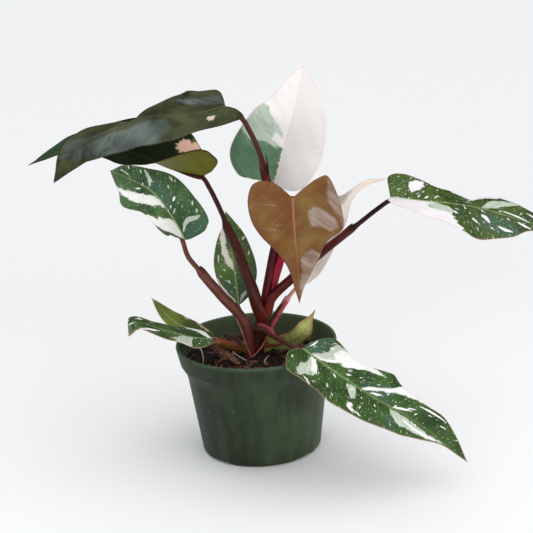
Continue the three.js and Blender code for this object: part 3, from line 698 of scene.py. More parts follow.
class Finish:
    """A material whose nodes are added from the texture to the shader."""

    def __init__(self, name):
        self.material = bpy.data.materials.new(name)
        self.material.use_nodes = True
        self.tree = self.material.node_tree
        self.shader = self.tree.nodes["Principled BSDF"]

    def feed(self, socket, value):
        if isinstance(value, bpy.types.NodeSocket):
            self.tree.links.new(value, socket)
        elif value is not None:
            socket.default_value = value

    def shade(self, **values):
        """Sets the shader's sockets, written with _ for a space."""
        for label, value in values.items():
            self.feed(self.shader.inputs[label.replace("_", " ")], value)
        return self.material

    def node(self, kind, inputs=(), **settings):
        made = self.tree.nodes.new("ShaderNode" + kind)
        for label, value in settings.items():
            setattr(made, label, value)
        for label, value in dict(inputs).items():
            self.feed(made.inputs[label], value)
        return made

    def calc(self, operation, *values):
        made = self.node("Math", operation=operation)
        for socket, value in zip(made.inputs, values):
            self.feed(socket, value)
        return made.outputs[0]

    def times(self, value, factor):
        return self.calc("MULTIPLY", value, factor)

    def total(self, *values):
        result = values[0]
        for value in values[1:]:
            result = self.calc("ADD", result, value)
        return result

    def rise(self, value, low, high, bottom=0.0, top=1.0):
        """A soft step from bottom to top, while value goes from low to high."""
        sockets = {"Value": value, "From Min": low, "From Max": high, "To Min": bottom, "To Max": top}
        return self.node("MapRange", sockets, interpolation_type="SMOOTHSTEP").outputs[0]

    def mix(self, share, low, high, blend="MIX"):
        made = self.node("Mix", data_type="RGBA", blend_type=blend)
        for index, value in {0: share, 6: low, 7: high}.items():
            self.feed(made.inputs[index], value)
        return made.outputs[2]

    def attribute(self, name):
        return self.node("Attribute", attribute_name=name).outputs["Fac"]

    def place(self):
        return self.node("TexCoord").outputs["Object"]

    def chart(self):
        """The two values of the piece's own map."""
        split = self.node("SeparateXYZ", {"Vector": self.node("TexCoord").outputs["UV"]})
        return split.outputs["X"], split.outputs["Y"]

    def join(self, x, y, z=0.0):
        return self.node("CombineXYZ", {"X": x, "Y": y, "Z": z}).outputs[0]

    def noise(self, where, scale, detail=3.0, roughness=0.5):
        sockets = {"Vector": where, "Scale": scale, "Detail": detail, "Roughness": roughness}
        return self.node("TexNoise", sockets).outputs[0]

    def cells(self, where, scale):
        """The distance to the middle of the nearest cell, and a random value for that cell."""
        made = self.node("TexVoronoi", {"Vector": where, "Scale": scale})
        split = self.node("SeparateColor", {"Color": made.outputs["Color"]})
        return made.outputs["Distance"], split.outputs[0]

    def bump(self, height, distance, strength=1.0, under=None):
        sockets = {"Height": height, "Distance": distance, "Strength": strength, "Normal": under}
        return self.node("Bump", sockets).outputs[0]


# %% [markdown]
# ## The skin of a leaf
#
# The skin has a green ground with paler veins. On it come the grey sectors, then the mint, then the
# white. Each patch knows how deep a point lies in it, so a noise that is drawn out along the side
# veins and added to that depth tears its edge in the right direction. The small flecks are cells of
# the same drawn-out space, of which a few are kept.

# %% Colours of each leaf
# The pale sheen colour and its share are painted sheen, mixed into the colour where the gloss patches lie.
PLAIN = dict(
    deep=(42, 74, 34), green=(74, 112, 50), grey=(66, 102, 86), mint=(206, 216, 200), white=(252, 250, 248),
    midrib=(164, 182, 124), rim=(126, 92, 78), pale_rim=(244, 224, 218), under=(118, 120, 84),
    painted_sheen=(120, 126, 120), flecks=0.0, spray=0.0, ragged=1.2, grain=0.3, rough=0.36, vein=0.1, shine=0.35,
    wax=0.0, painted_sheen_share=0.45, rib=(1.4, 0.9),
)
LOOKS = {
    "dark_large": dict(deep=(36, 42, 22), green=(82, 88, 50), midrib=(94, 82, 56), under=(92, 84, 50),
                       rim=(62, 36, 34), white=(226, 200, 186), painted_sheen=(88, 106, 110), rough=0.44, vein=0.22,
                       shine=0.3, wax=0.26, ragged=1.8, painted_sheen_share=0.55),
    # This leaf's mint colour is an olive, painted lighter where the blade is lit: painted light.
    "dark_folded": dict(deep=(17, 30, 6), green=(34, 50, 16), grey=(62, 94, 66), midrib=(64, 48, 30),
                        under=(120, 120, 40), rim=(70, 32, 24), white=(232, 186, 166), rough=0.5, shine=0.14,
                        mint=(92, 100, 44), ragged=0.8),
    "half_white": dict(deep=(78, 114, 84), green=(114, 150, 114), white=(246, 242, 240), mint=(200, 214, 198),
                       midrib=(244, 230, 224), rim=(250, 218, 210), under=(238, 226, 220), ragged=2.0,
                       vein=0.03, grain=0.15),
    "bronze_new": dict(deep=(114, 68, 26), green=(142, 112, 56), midrib=(180, 118, 96), painted_sheen=(192, 178, 168),
                       rim=(92, 36, 48), under=(118, 70, 48), rough=0.42, vein=0.1, shine=0.3, wax=0.6,
                       grain=0.14, rib=(1.6, 0.7), painted_sheen_share=0.52),
    "speckled_left": dict(flecks=0.2, spray=0.3, deep=(42, 74, 42), green=(80, 116, 66), rim=(108, 96, 70)),
    "speckled_right": dict(flecks=0.22, spray=0.4, deep=(42, 66, 26), green=(84, 106, 44),
                           white=(246, 239, 244), rim=(150, 118, 96), ragged=0.65),
    "upright_small": dict(flecks=0.2, spray=0.2, deep=(64, 98, 46), green=(108, 140, 74),
                          white=(255, 250, 238)),
    "speckled_low": dict(flecks=0.26, spray=0.4, deep=(36, 66, 26), green=(70, 104, 42), rim=(168, 132, 112),
                         midrib=(132, 154, 94), rib=(2.4, 0.75)),
    "low_left": dict(flecks=0.22, spray=0.4, deep=(40, 68, 28), green=(78, 108, 54), rim=(176, 140, 112)),
    "olive_small": dict(deep=(116, 122, 48), green=(150, 154, 76), under=(206, 214, 132), rim=(150, 96, 50),
                        midrib=(160, 156, 84)),
    "peach": dict(deep=(255, 240, 226), green=(255, 247, 238), grey=(66, 104, 76), under=(255, 240, 222),
                  midrib=(226, 190, 170), rim=(236, 200, 184), vein=0.05),
    "olive_low": dict(deep=(76, 98, 30), green=(116, 134, 50), grey=(46, 78, 32), under=(160, 128, 104),
                      rim=(190, 152, 130), white=(190, 156, 132), pale_rim=(206, 168, 150)),
}

print("leaf colours:", list(LOOKS))

# %% [markdown]
# One flat colour would look painted. Each step of the skin is a share between two colours instead,
# and the share comes from what grows on a real leaf: side veins, hair-fine lines between them, broad
# clouds of paler green, a reddish rim and a brown tip. Two leaves also have a clear coat of wax whose
# strength varies, and in the same patches their colour is made paler, as painted sheen.

# %% The skin itself
PAINTS = ("deep", "green", "grey", "mint", "white", "midrib", "rim", "pale_rim", "under", "painted_sheen")
# How far the noise tears a patch's edge, in millimetres: in long streaks and in short teeth.
STREAK_TEAR = 3.4
TEETH_TEAR = 4.2
# How much of the underside has its own colour, how much rougher it is, and how strong the mottle is.
UNDER_SHARE = 0.86
UNDER_ROUGHER = 0.16
MOTTLE = 0.16


def leaf_skin(name, side):
    look = {**PLAIN, **LOOKS[name]}
    colour = {key: paint(*look[key]) for key in PAINTS}
    finish = Finish(f"{name} {side}")
    vein, rim = finish.attribute("vein"), finish.attribute("rim")
    along, out = finish.chart()
    along = finish.times(along, CHART_UNIT)
    out = finish.times(out, CHART_UNIT)
    far = finish.calc("ABSOLUTE", out)

    lean = finish.join(vein, finish.times(out, 0.28))
    streak = finish.calc("SUBTRACT", finish.noise(lean, 0.3, 4.0, 0.62), 0.5)
    teeth = finish.noise(finish.join(finish.times(vein, 1.3), finish.times(out, 0.12)), 0.9)
    tear = finish.times(streak, STREAK_TEAR * look["ragged"])
    uneven = finish.times(finish.calc("SUBTRACT", teeth, 0.5), TEETH_TEAR * look["ragged"])
    tear = finish.total(tear, uneven)
    broad = finish.noise(finish.join(along, out), 0.035, 3.0)
    fine = finish.noise(finish.join(along, out), 0.9, 2.0)

    line = finish.calc("COSINE", finish.times(vein, 2 * math.pi / VEIN_GAP))
    line = finish.rise(finish.times(line, -1.0), 0.93, 1.0)
    line = finish.times(line, finish.rise(far, 0.5, 4.0))
    hairs = finish.noise(finish.join(vein, finish.times(out, 0.05)), 0.8, 2.0)
    grain = finish.times(finish.total(hairs, streak), look["grain"])
    shift = finish.total(broad, grain)
    ground = finish.mix(finish.rise(shift, 0.42, 0.9), colour["deep"], colour["green"])
    ground = finish.mix(finish.times(line, look["vein"]), ground, colour["midrib"])
    if side == "underside":
        ground = finish.mix(UNDER_SHARE, ground, colour["under"])

    skin = ground
    whites = 0.0
    veined = finish.rise(teeth, 0.35, 0.6, 0.62, 1.0)
    for kind, strength, soft in (("grey", 0.6, 2.4), ("mint", veined, 0.3), ("white", 1.0, 0.3)):
        if PATCHES[name].get(kind):
            depth = finish.total(finish.attribute(kind), tear)
            if kind == "white":
                skin = finish.mix(finish.rise(depth, -1.0, 0.1, 0.0, 0.4), skin, colour["mint"])
            skin = finish.mix(finish.rise(depth, -soft, soft, 0.0, strength), skin, colour[kind])
            if kind == "white":
                faded = finish.times(finish.rise(depth, 3.4, 0.4), finish.rise(teeth, 0.5, 0.62, 0.0, 0.8))
                skin = finish.mix(finish.times(faded, finish.rise(depth, -0.3, 0.3)), skin, colour["mint"])
                whites = finish.rise(depth, -1.0, 0.5)
    if look["flecks"]:
        skin = add_flecks(finish, skin, vein, out, colour["mint"], look["spray"], 1.1, 0.45)
        skin = add_flecks(finish, skin, vein, out, colour["white"], look["flecks"], 0.46, 0.42)

    wide, strong = look["rib"]
    faint = finish.rise(along, blades[name].length, 0.06 * blades[name].length, 0.1, strong)
    ridge = finish.times(finish.rise(far, wide, 0.4 * wide), faint)
    skin = finish.mix(ridge, skin, colour["midrib"])
    edge = finish.mix(whites, colour["rim"], colour["pale_rim"])
    skin = finish.mix(finish.rise(rim, 0.9, 0.25, 0.0, 0.85), skin, edge)
    from_tip = finish.total(finish.calc("SUBTRACT", blades[name].length, along), far)
    skin = finish.mix(finish.rise(from_tip, 6.0, 2.0, 0.0, 0.7), skin, colour["rim"])
    if side == "underside":
        skin = finish.mix(finish.rise(rim, 6.0, 0.5, 0.0, 0.6), skin, colour["rim"])
        skin = finish.mix(finish.rise(hairs, 0.4, 0.6, look["grain"], 0.0), skin, colour["deep"])
    # Inside the gloss patches the colour is mixed towards a paler one, as painted sheen. The coat set below
    # gives the gloss itself.
    if look["wax"] and side == "top":
        wax_and_painted_sheen = finish.total(finish.attribute("gloss"), tear)
        cloud = finish.rise(finish.total(broad, hairs), 0.72, 1.2, 0.25, 1.0)
        wax_and_painted_sheen = finish.times(finish.rise(wax_and_painted_sheen, -1.4, 1.8), cloud)
        skin = finish.mix(finish.times(wax_and_painted_sheen, look["painted_sheen_share"]), skin, colour["painted_sheen"])
    skin = finish.mix(MOTTLE, skin, finish.mix(fine, paint(0, 0, 0), paint(255, 255, 255)), "SOFT_LIGHT")

    height = finish.total(finish.times(hairs, 0.6), finish.times(fine, 0.3))
    rough = look["rough"] + (UNDER_ROUGHER if side == "underside" else 0)
    finish.shade(Base_Color=skin, Specular_IOR_Level=look["shine"], Normal=finish.bump(height, 0.00025, 0.7))
    finish.shade(Roughness=finish.rise(fine, 0.2, 0.8, rough - 0.05, rough + 0.06))
    if look["wax"] and side == "top":
        finish.shade(Coat_Weight=finish.times(wax_and_painted_sheen, look["wax"]), Coat_Roughness=0.24, Coat_IOR=2.1)
        finish.shade(Coat_Normal=finish.bump(hairs, 0.0003, 0.5))
    return finish.material


def add_flecks(finish, skin, vein, out, colour, density, scale, stretch):
    """Keeps a share of the cells, as flecks that are drawn out along the veins."""
    far, draw = finish.cells(finish.join(vein, finish.times(out, stretch)), scale)
    size = finish.rise(draw, density, 0.0, 0.0, 0.32)
    return finish.mix(finish.rise(finish.calc("SUBTRACT", far, size), 0.05, -0.05), skin, colour)


def leaf_finishes(name):
    return leaf_skin(name, "top"), leaf_skin(name, "underside")


# %% [markdown]
# All twelve leaves come out of the same two functions, so a loop over their names makes them. What
# sets them apart is only in the tables above.

# %% Make all twelve
leaves = {name: make_leaf(name) for name in LEAVES}
print("faces per leaf:", {name: len(leaf.data.polygons) for name, leaf in leaves.items()})

# %% [markdown]
# ## Stalks
#
# Each blade stands on a stalk that is soft and a little flattened. Its lower part is wrapped in a
# sheath: two thin wings that once closed round the next leaf and end in a free tip. A tube along a
# curve would be round everywhere, so the stalk is a grid again, rolled up round its curve, whose
# radius depends on the angle.

# %% Stalk forms in millimetres
# path, then radii at the foot, at the end of the sheath and at the top, and the sheath's share.
STALKS = {
    "dark_large": ([(9, 9, 129), (13, 9, 149), (20, 8, 181), (25, 6, 205), (24, 2, 232), (19, -1, 259),
                    (14, -3, 289), (6, -6, 312), (-2, -9, 327)], (5.6, 4.2, 2.2), 0.66),
    "dark_folded": ([(7, 3, 128), (3, 1, 141), (0, 0, 155), (-6, 2, 175), (-12, 5, 196), (-19, 9, 213),
                     (-25, 12, 231), (-35, 16, 255)], (6.4, 4.6, 2.1), 0.63),
    "half_white": ([(13, 14, 131), (21, 17, 160), (27, 19, 189), (29, 21, 218), (29, 22, 240)],
                   (4.4, 3.6, 2.2), 0.6),
    "bronze_new": ([(11, 10, 135), (19, 9, 158), (27, 4, 182), (34, -10, 213), (38, -27, 238)],
                   (4.6, 3.4, 1.9), 0.45),
    "speckled_left": ([(-6, 2, 80), (-6, 0, 102), (-8, -2, 121), (-16, -4, 137), (-27, -8, 152),
                       (-48, -18, 185), (-58, -23, 202)], (5.2, 4.4, 2.1), 0.72),
    "speckled_right": ([(11, 6, 132), (17, 3, 147), (36, -1, 166), (67, -3, 192), (101, -3, 217),
                        (121, -1, 231)], (5, 3.6, 2.1), 0.7),
    "upright_small": ([(-1, 10, 100), (-6, 15, 111), (-11, 20, 123)], (3.2, 2.6, 1.8), 0.5),
    "speckled_low": ([(4, 0, 119), (11, -7, 119), (19, -18, 115), (32, -43, 116)], (5.4, 3, 2.1), 0.3),
    "low_left": ([(-5, 1, 94), (-16, -4, 101), (-27, -11, 107), (-35, -17, 113)], (4.6, 4, 2), 0.8),
    "olive_small": ([(0, 7, 101), (7, 3, 100)], (2.4, 2.2, 1.6), 0.4),
    "peach": ([(6, 9, 105), (14, 11, 116), (26, 11, 134), (36, 10, 148)], (4.2, 2.9, 1.7), 0.66),
    "olive_low": ([(-6, 9, 94), (-20, 9, 99), (-33, 8, 105)], (2.8, 2.3, 1.7), 0.4),
}
STEM_TOP = np.array([10.0, 7.0, 137.0])
STEM_PATH = [(-5, 9, 71), (-2, 8, 94), (3, 7, 109), (7, 6, 125), (10, 7, 137)]
# How far below its blade's face a stalk ends, and how far below its first point it is rooted.
UNDER_BLADE = 2.6
ROOTED = 9.0
print("stalks:", len(STALKS))

# %% [markdown]
# A stalk's points lie unevenly, and a plain smooth line through such points swings out between them.
# This one weighs each point by the distance to its neighbours. The rings mustn't twist either, so
# each takes over the side direction of the ring before it, squared up to the new heading.

# %% Roll a tube round a line
class Course:
    """A smooth line through points that lie unevenly, walked by its share of length."""

    def __init__(self, points, steps=40):
        p = np.asarray(points, float)
        p = np.vstack([2 * p[0] - p[1], p, 2 * p[-1] - p[-2]])
        pace = np.sqrt(np.linalg.norm(np.diff(p, axis=0), axis=1))
        f = np.linspace(0, 1, steps, endpoint=False)[:, None]
        found = []
        for k in range(1, len(p) - 2):
            a, b, c, d = p[k - 1 : k + 3]
            before, span, after = pace[k - 1 : k + 2]
            leave = ((b - a) / before - (c - a) / (before + span) + (c - b) / span) * span
            reach = ((c - b) / span - (d - b) / (span + after) + (d - c) / after) * span
            square = 3 * (c - b) - 2 * leave - reach
            cube = 2 * (b - c) + leave + reach
            found.append(b + leave * f + square * f**2 + cube * f**3)
        self.points = np.vstack([*found, p[-2]])
        run = np.concatenate([[0], np.cumsum(np.linalg.norm(np.diff(self.points, axis=0), axis=1))])
        self.length = run[-1]
        self.share = run / self.length

    def at(self, share):
        return np.stack([np.interp(share, self.share, self.points[:, k]) for k in range(3)], -1)

    def frames(self, toward, steps=400):
        """Headings along the line, and a side direction that starts toward a point and never twists."""
        t = np.linspace(0, 1, steps + 1)
        heading = unit(np.gradient(self.at(t), axis=0))
        side = np.zeros_like(heading)
        kept = np.asarray(toward, float) - self.points[0]
        for k, way in enumerate(heading):
            kept = unit(kept - way * (kept @ way))
            side[k] = kept
        return t, heading, side


def rolled(name, course, toward, rows, columns, radius):
    """A closed tube along a course. radius(share, angle) gives it in millimetres."""
    t, headings, sides = course.frames(toward)
    end = 0.4 / rows

    def lay(down, across):
        share = np.clip((down - end) / (1 - 2 * end), 0, 1)
        angle = across * 2 * math.pi
        heading = unit(np.stack([np.interp(share, t, headings[:, k]) for k in range(3)], -1))
        side = unit(np.stack([np.interp(share, t, sides[:, k]) for k in range(3)], -1))
        over = np.cross(heading, side)
        wide = np.where((down < end / 2) | (down > 1 - end / 2), 0, radius(share, angle))
        ring = side * np.cos(angle)[:, None] + over * np.sin(angle)[:, None]
        chart = np.stack([share * course.length / CHART_UNIT, across], -1)
        inner = (1 + np.cos(angle)) / 2
        values = {"share": share, "inner": inner, "high": course.at(share)[:, 2]}
        return course.at(share) + ring * wide[:, None], chart, values

    piece = laid_grid(name, rows, columns, lay)
    edit(piece, lambda: weld(0.000001), face_out)
    bpy.ops.object.shade_smooth()
    return piece


def joined(first, *others):
    bpy.ops.object.select_all(action="DESELECT")
    for piece in (*others, first):
        piece.select_set(True)
    bpy.context.view_layer.objects.active = first
    bpy.ops.object.join()
    return first


def stalk_radius(radii, sheath, start, end):
    foot, middle, top = radii

    def radius(share, angle):
        lower = foot + (middle - foot) * share / sheath
        step = top * 1.15 + (middle - top * 1.15) * hill(share, sheath + 0.05, sheath)
        upper = step + (top - step) * np.clip((share - sheath) / (1 - sheath), 0, 1)
        plain = np.where(share < sheath, lower, upper)
        turn = np.abs((angle + math.pi) % (2 * math.pi) - math.pi)
        # Up to the sheath's end, two wings stand beside a shallow channel.
        wrapped = hill(share, sheath + 0.03, sheath - 0.12) * hill(share, 0.02, 0.15)
        wings = 0.1 * np.exp(-(((turn - 0.75) / 0.3) ** 2)) - 0.12 * np.exp(-((turn / 0.4) ** 2))
        channel = -0.14 * np.exp(-((turn / 0.5) ** 2))
        ribs = 0.008 * np.cos(angle * 9)
        taper = (1 - 0.85 * hill(share, end, 1.0)) * (0.35 + 0.65 * hill(share, 0, start))
        return plain * (1 + wings * wrapped + channel * (1 - wrapped) + ribs) * taper

    return radius


# %% [markdown]
# ## The skin of a stalk
#
# The stalks are dark maroon where the sun reaches them and crimson or orange at the crown. Their
# skin is streaked lengthwise, so the noise is read from the length and from the sine and cosine of
# the angle, which meet again at the seam.

# %% Stalk finish
# colours of the foot, the sheath, the bare top, and the inner side of the sheath
STALK_LOOKS = {
    "dark_large": ((108, 12, 12), (50, 12, 10), (76, 38, 28), (84, 10, 22)),
    "dark_folded": ((84, 22, 12), (66, 28, 18), (58, 26, 18), (72, 28, 20)),
    "half_white": ((120, 22, 16), (104, 14, 22), (92, 20, 24), (140, 18, 40)),
    "bronze_new": ((140, 20, 30), (150, 16, 38), (86, 26, 20), (170, 28, 56)),
    "speckled_left": ((112, 34, 46), (84, 50, 38), (74, 40, 30), (70, 18, 24)),
    "speckled_right": ((124, 44, 34), (70, 26, 18), (32, 12, 8), (84, 20, 22)),
    "upright_small": ((136, 44, 40), (126, 64, 54), (140, 94, 74), (126, 64, 54)),
    "speckled_low": ((104, 62, 54), (90, 54, 46), (92, 60, 50), (182, 72, 94)),
    "low_left": ((130, 52, 28), (102, 80, 28), (146, 94, 68), (146, 74, 48)),
    "olive_small": ((126, 46, 34), (114, 62, 42), (126, 74, 54), (114, 62, 42)),
    "peach": ((196, 84, 60), (214, 98, 106), (226, 150, 140), (84, 58, 42)),
    "olive_low": ((136, 50, 36), (136, 72, 48), (170, 116, 94), (136, 72, 48)),
}
# how strong the pale streaks are on two stalks, and on the others. On those two, half of it also
# paints the outer side of the sheath paler, as painted light.
PALE_STREAKS_AND_PAINTED_LIGHT = {"speckled_left": 0.34, "peach": 0.3}
PLAIN_STREAKS = 0.16


def stalk_skin(name, sheath):
    foot, middle, top, inside = (paint(*colour) for colour in STALK_LOOKS[name])
    finish = Finish(f"stalk {name}")
    share, inner, high = (finish.attribute(label) for label in ("share", "inner", "high"))
    along, turn = finish.chart()
    angle = finish.times(turn, 2 * math.pi)
    around = finish.calc("COSINE", angle), finish.calc("SINE", angle)
    streaks = finish.noise(finish.join(finish.times(along, 1.6), *around), 4.5, 5.0, 0.65)
    fine = finish.noise(finish.join(finish.times(along, 9.0), *around), 9.0, 3.0, 0.6)
    mottle = finish.noise(finish.join(finish.times(along, 14.0), *around), 2.2, 4.0, 0.6)

    skin = finish.mix(finish.rise(share, sheath * 0.12, sheath * 0.45), foot, middle)
    lined = finish.times(finish.rise(inner, 0.5, 0.8), finish.rise(share, 0.03, 0.12))
    skin = finish.mix(lined, skin, inside)
    skin = finish.mix(finish.rise(share, sheath - 0.01, sheath + 0.02), skin, top)
    pale = finish.rise(streaks, 0.5, 0.68, 0.0, PALE_STREAKS_AND_PAINTED_LIGHT.get(name, PLAIN_STREAKS))
    skin = finish.mix(pale, skin, paint(200, 112, 110))
    # On two stalks the outer side of the sheath is painted paler: painted light.
    outside = finish.rise(inner, 0.4, 0.08, 0.0, 0.5 * PALE_STREAKS_AND_PAINTED_LIGHT.get(name, 0))
    skin = finish.mix(outside, skin, paint(176, 104, 94))
    skin = finish.mix(finish.rise(streaks, 0.48, 0.34, 0.0, 0.36), skin, paint(40, 18, 16))
    skin = finish.mix(finish.rise(mottle, 0.5, 0.75, 0.0, 0.3), skin, paint(64, 40, 24))
    skin = finish.mix(finish.rise(high, 132, 92, 0.0, 0.45), skin, paint(78, 18, 22))
    finish.shade(Base_Color=skin, Normal=finish.bump(finish.total(streaks, fine), 0.00025, 0.6))
    finish.shade(Roughness=finish.rise(fine, 0.3, 0.7, 0.42, 0.54), Specular_IOR_Level=0.12)
    finish.shade(Coat_Weight=0.15, Coat_Roughness=0.1)
    return finish.material


# %% [markdown]
# A stalk starts inside the stem, runs through its own points and then on below its blade, where it
# turns into the midrib. The free end of its sheath is a short curved piece of its own, one blunt
# shoulder on most stalks and two slender points on the tallest, and is joined to the stalk.

# %% Make the stalks
# Where the open side of the sheath looks, when it isn't at the growing point.
OPEN_TO = {"dark_large": (90, -60, 129)}
# A sheath whose foot is nearer to the growing point than this, in millimetres, opens upwards.
AT_CENTRE = 3.0
ABOVE = [0, 0, 40]

# How the sheath ends: places up and out from its end, in radii, and the width there.
BLUNT = dict(lean=[(-2.4, 0.5), (-0.8, 0.66), (0.5, 0.84), (1.5, 1.04)], wide=0.78, sideways=(0,))
TWIN = dict(lean=[(-2.2, 0.7), (-0.6, 0.95), (1.4, 1.15), (3.9, 1.2)], wide=0.3, sideways=(-0.4, 0.4))
SHEATH_ENDS = {"dark_large": TWIN}


def sheath_end(course, toward, sheath, radius, look):
    """The free end of a sheath, as one blunt shoulder or two slender points."""
    t, headings, sides = course.frames(toward)
    k = int(sheath * (len(t) - 1))
    foot = course.at(np.array([sheath]))[0]
    over = np.cross(headings[k], sides[k])
    pieces = []
    for shift in look["sideways"]:
        way = sides[k] * math.cos(shift) + over * math.sin(shift)
        line = Course([foot + headings[k] * radius * up + way * radius * out for up, out in look["lean"]])
        pieces.append(rolled("tip", line, foot, 16, 16, lambda share, angle: (
            look["wide"] * radius * (1 - share**3) ** 0.6 * (0.5 + 0.5 * np.sin(angle) ** 2) + 0.02)))
    return pieces


def make_stalk(name):
    points, radii, sheath = STALKS[name]
    blade = blades[name]
    low = points[0][2] - ROOTED
    axis = np.array(STEM_PATH, float)
    rooted = [np.interp(low, axis[:, 2], axis[:, k]) for k in range(2)]
    along = np.array([0.0, 4.0, 4.0 + 0.07 * blade.length, 4.0 + 0.15 * blade.length])
    under = np.array([UNDER_BLADE, UNDER_BLADE, 2.0, 1.3])
    ends, normal = blade.lay(along, np.zeros(4))
    ends = ends - normal * under[:, None]
    start = Course([(*rooted, low), points[0]]).length
    short = Course([*points, *ends[:2]]).length
    course = Course([(*rooted, low), *points, *ends])
    start, sheath, end = (x / course.length for x in (start, start + sheath * short, start + short))
    off_centre = np.hypot(*(np.array(points[0][:2]) - STEM_TOP[:2]))
    toward = OPEN_TO.get(name, STEM_TOP if off_centre > AT_CENTRE else STEM_TOP + ABOVE)
    shape = stalk_radius(radii, sheath, start, end)
    stalk = rolled(f"stem_{name}", course, toward, max(24, int(course.length / 1.6)), 28, shape)
    joined(stalk, *sheath_end(course, toward, sheath, radii[1], SHEATH_ENDS.get(name, BLUNT)))
    stalk.data.materials.clear()
    stalk.data.materials.append(stalk_skin(name, sheath))
    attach(stalk, "root")
    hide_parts(f"stalk_{name}")
    return stalk


stalks = {name: make_stalk(name) for name in STALKS}
print("faces per stalk:", {name: len(stalk.data.polygons) for name, stalk in stalks.items()})

# %% [markdown]
# ## The stem
#
# The stem is short and thick. Every leaf that it has borne left a ring on it, so its radius swells
# at even steps, and the rings are darker than the orange-red skin between them.

# %% Make the stem
STEM_RADII = (8, 8.4, 8, 8.2, 4)
STEM_RINGS = 6


def stem_radius(share, angle):
    plain = np.interp(share, np.linspace(0, 1, len(STEM_RADII)), STEM_RADII)
    ring = np.cos((share * STEM_RINGS + 0.06 * np.sin(angle)) * 2 * math.pi)
    dome = np.sqrt(np.clip(1 - hill(share, 0.88, 1.0) * 0.8, 0, 1))
    return plain * (0.97 + 0.05 * hill(ring, 0.5, 1) + 0.02 * np.cos(3 * angle)) * dome


def stem_skin():
    finish = Finish("stem skin")
    along, turn = finish.chart()
    angle = finish.times(turn, 2 * math.pi)
    around = finish.calc("COSINE", angle), finish.calc("SINE", angle)
    streaks = finish.noise(finish.join(finish.times(along, 3.0), *around), 3.5, 5.0, 0.65)
    ring = finish.calc("COSINE", finish.times(finish.attribute("share"), 2 * math.pi * STEM_RINGS))
    spots = finish.noise(finish.join(finish.times(along, 30.0), *around), 2.6, 4.0, 0.65)
    skin = finish.mix(finish.rise(streaks, 0.35, 0.7), paint(44, 14, 14), paint(84, 28, 22))
    skin = finish.mix(finish.rise(spots, 0.56, 0.7, 0.0, 0.6), skin, paint(150, 62, 36))
    skin = finish.mix(finish.rise(spots, 0.46, 0.36, 0.0, 0.7), skin, paint(34, 14, 12))
    skin = finish.mix(finish.rise(ring, 0.7, 1.0, 0.0, 0.6), skin, paint(48, 20, 18))
    finish.shade(Base_Color=skin, Roughness=0.42, Normal=finish.bump(spots, 0.0005))
    return finish.material


stem = rolled("stem_body", Course(STEM_PATH), (40, 7, 90), 60, 36, stem_radius)
stem.data.materials.append(stem_skin())
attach(stem, "root")
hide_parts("stem")
print("stem faces:", len(stem.data.polygons))

# %% [markdown]
# ## Dry sheaths, roots and a thread
#
# Each new leaf comes wrapped in a sheath that dries and stays at the foot of the plant like a strip
# of brown paper. It is made as a small leaf is. The bare roots and the thread are thin tubes.

# %% Dry sheaths
HUSKS = {
    "husk_front": dict(
        rib=[(-40, -10, 104), (-26, -15, 97), (-11, -20, 85)], face=[(-70, 50), (-75, 55), (-80, 70)],
        fold=[(35, 35), (30, 30), (10, 10)],
        left=[(1, 1.8), (8, 3.2), (16, 3.6), (22, 3.2), (27, 2.6), (31, 1.4)],
    ),
    "husk_left": dict(
        rib=[(-14, -7, 101), (-16, -7, 110), (-19, -10, 120)], face=[(-120, 5), (-125, 5), (-130, 10)],
        fold=[(30, 30), (30, 30), (20, 20)],
        left=[(1, 1.5), (4, 3), (8, 3.6), (11, 3.4), (14, 2.4), (17, 1.2)],
    ),
}
HUSK_THICKNESS = 0.5
HUSK_TONES = {
    "husk_front": ((84, 48, 40), (172, 116, 98)),
    "husk_left": ((54, 40, 32), (124, 98, 80)),
}


def husk_skin(name, dark, light):
    finish = Finish(name)
    along, out = finish.chart()
    grain = finish.noise(finish.join(finish.times(along, 6.0), finish.times(out, 60.0)), 3.0, 5.0)
    skin = finish.mix(finish.rise(grain, 0.35, 0.7), paint(*dark), paint(*light))
    stains = finish.rise(finish.noise(finish.join(along, out), 60.0, 3.0), 0.5, 0.7, 0.0, 0.7)
    skin = finish.mix(stains, skin, paint(*dark))
    finish.shade(Base_Color=skin, Roughness=0.6, Normal=finish.bump(grain, 0.0012))
    return finish.material


for name, form in HUSKS.items():
    sheet = Blade({**form, "right": form["left"]})

    def lay(down, across, sheet=sheet):
        t, row = np.unique(np.round(down, 6), return_inverse=True)
        start, left, _ = (values[row] for values in sheet.rows(t))
        signed = 1 - 2 * across
        along = start + (left[:, 0] - start) * np.abs(signed)
        out = np.maximum(left[:, 1], 0) * signed
        crinkle = 0.25 * np.sin(out * 4.0) + 0.2 * np.sin(along * 0.9 + 2 * signed)
        return sheet.lay(along, out, crinkle)[0], np.stack([along, out], -1) / CHART_UNIT, {}

    husk = laid_grid(f"dry_{name}", 48, 20, lay)
    edit(husk, weld)
    modified(husk, "SOLIDIFY", thickness=HUSK_THICKNESS * MM, offset=0)
    bpy.ops.object.shade_smooth()
    husk.data.materials.append(husk_skin(name, *HUSK_TONES[name]))
    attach(husk, "root")
    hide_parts(name)

# %% [markdown]
# The roots and the thread are tubes along a few points, a little uneven and thinner towards one end.
# They start and end where the solids do, so the tip of each root is still sunk in the bark.

# %% Roots and thread
THREADS = {
    "root_left": [(-54.4, 23, 92), (-52, 7, 91.6), (-51.6, -4, 90), (-52, -9, 86)],
    "root_front": [(-23, 9, 92.4), (-17, -2, 91.6), (-9, -13, 90), (-4.6, -18, 85.5)],
    "root_right": [(11.3, 1, 89.5), (9, -8, 91), (7, -16, 90), (7.4, -21, 85)],
    "dry_thread": [(13.5, 3, 139), (20, 4, 131), (27, 3, 122)],
}


def thread_skin(name, low, high):
    finish = Finish(name)
    spots = finish.noise(finish.place(), 900.0, 3.0)
    finish.shade(Base_Color=finish.mix(spots, paint(*low), paint(*high)), Roughness=0.6)
    finish.shade(Normal=finish.bump(spots, 0.0003))
    return finish.material


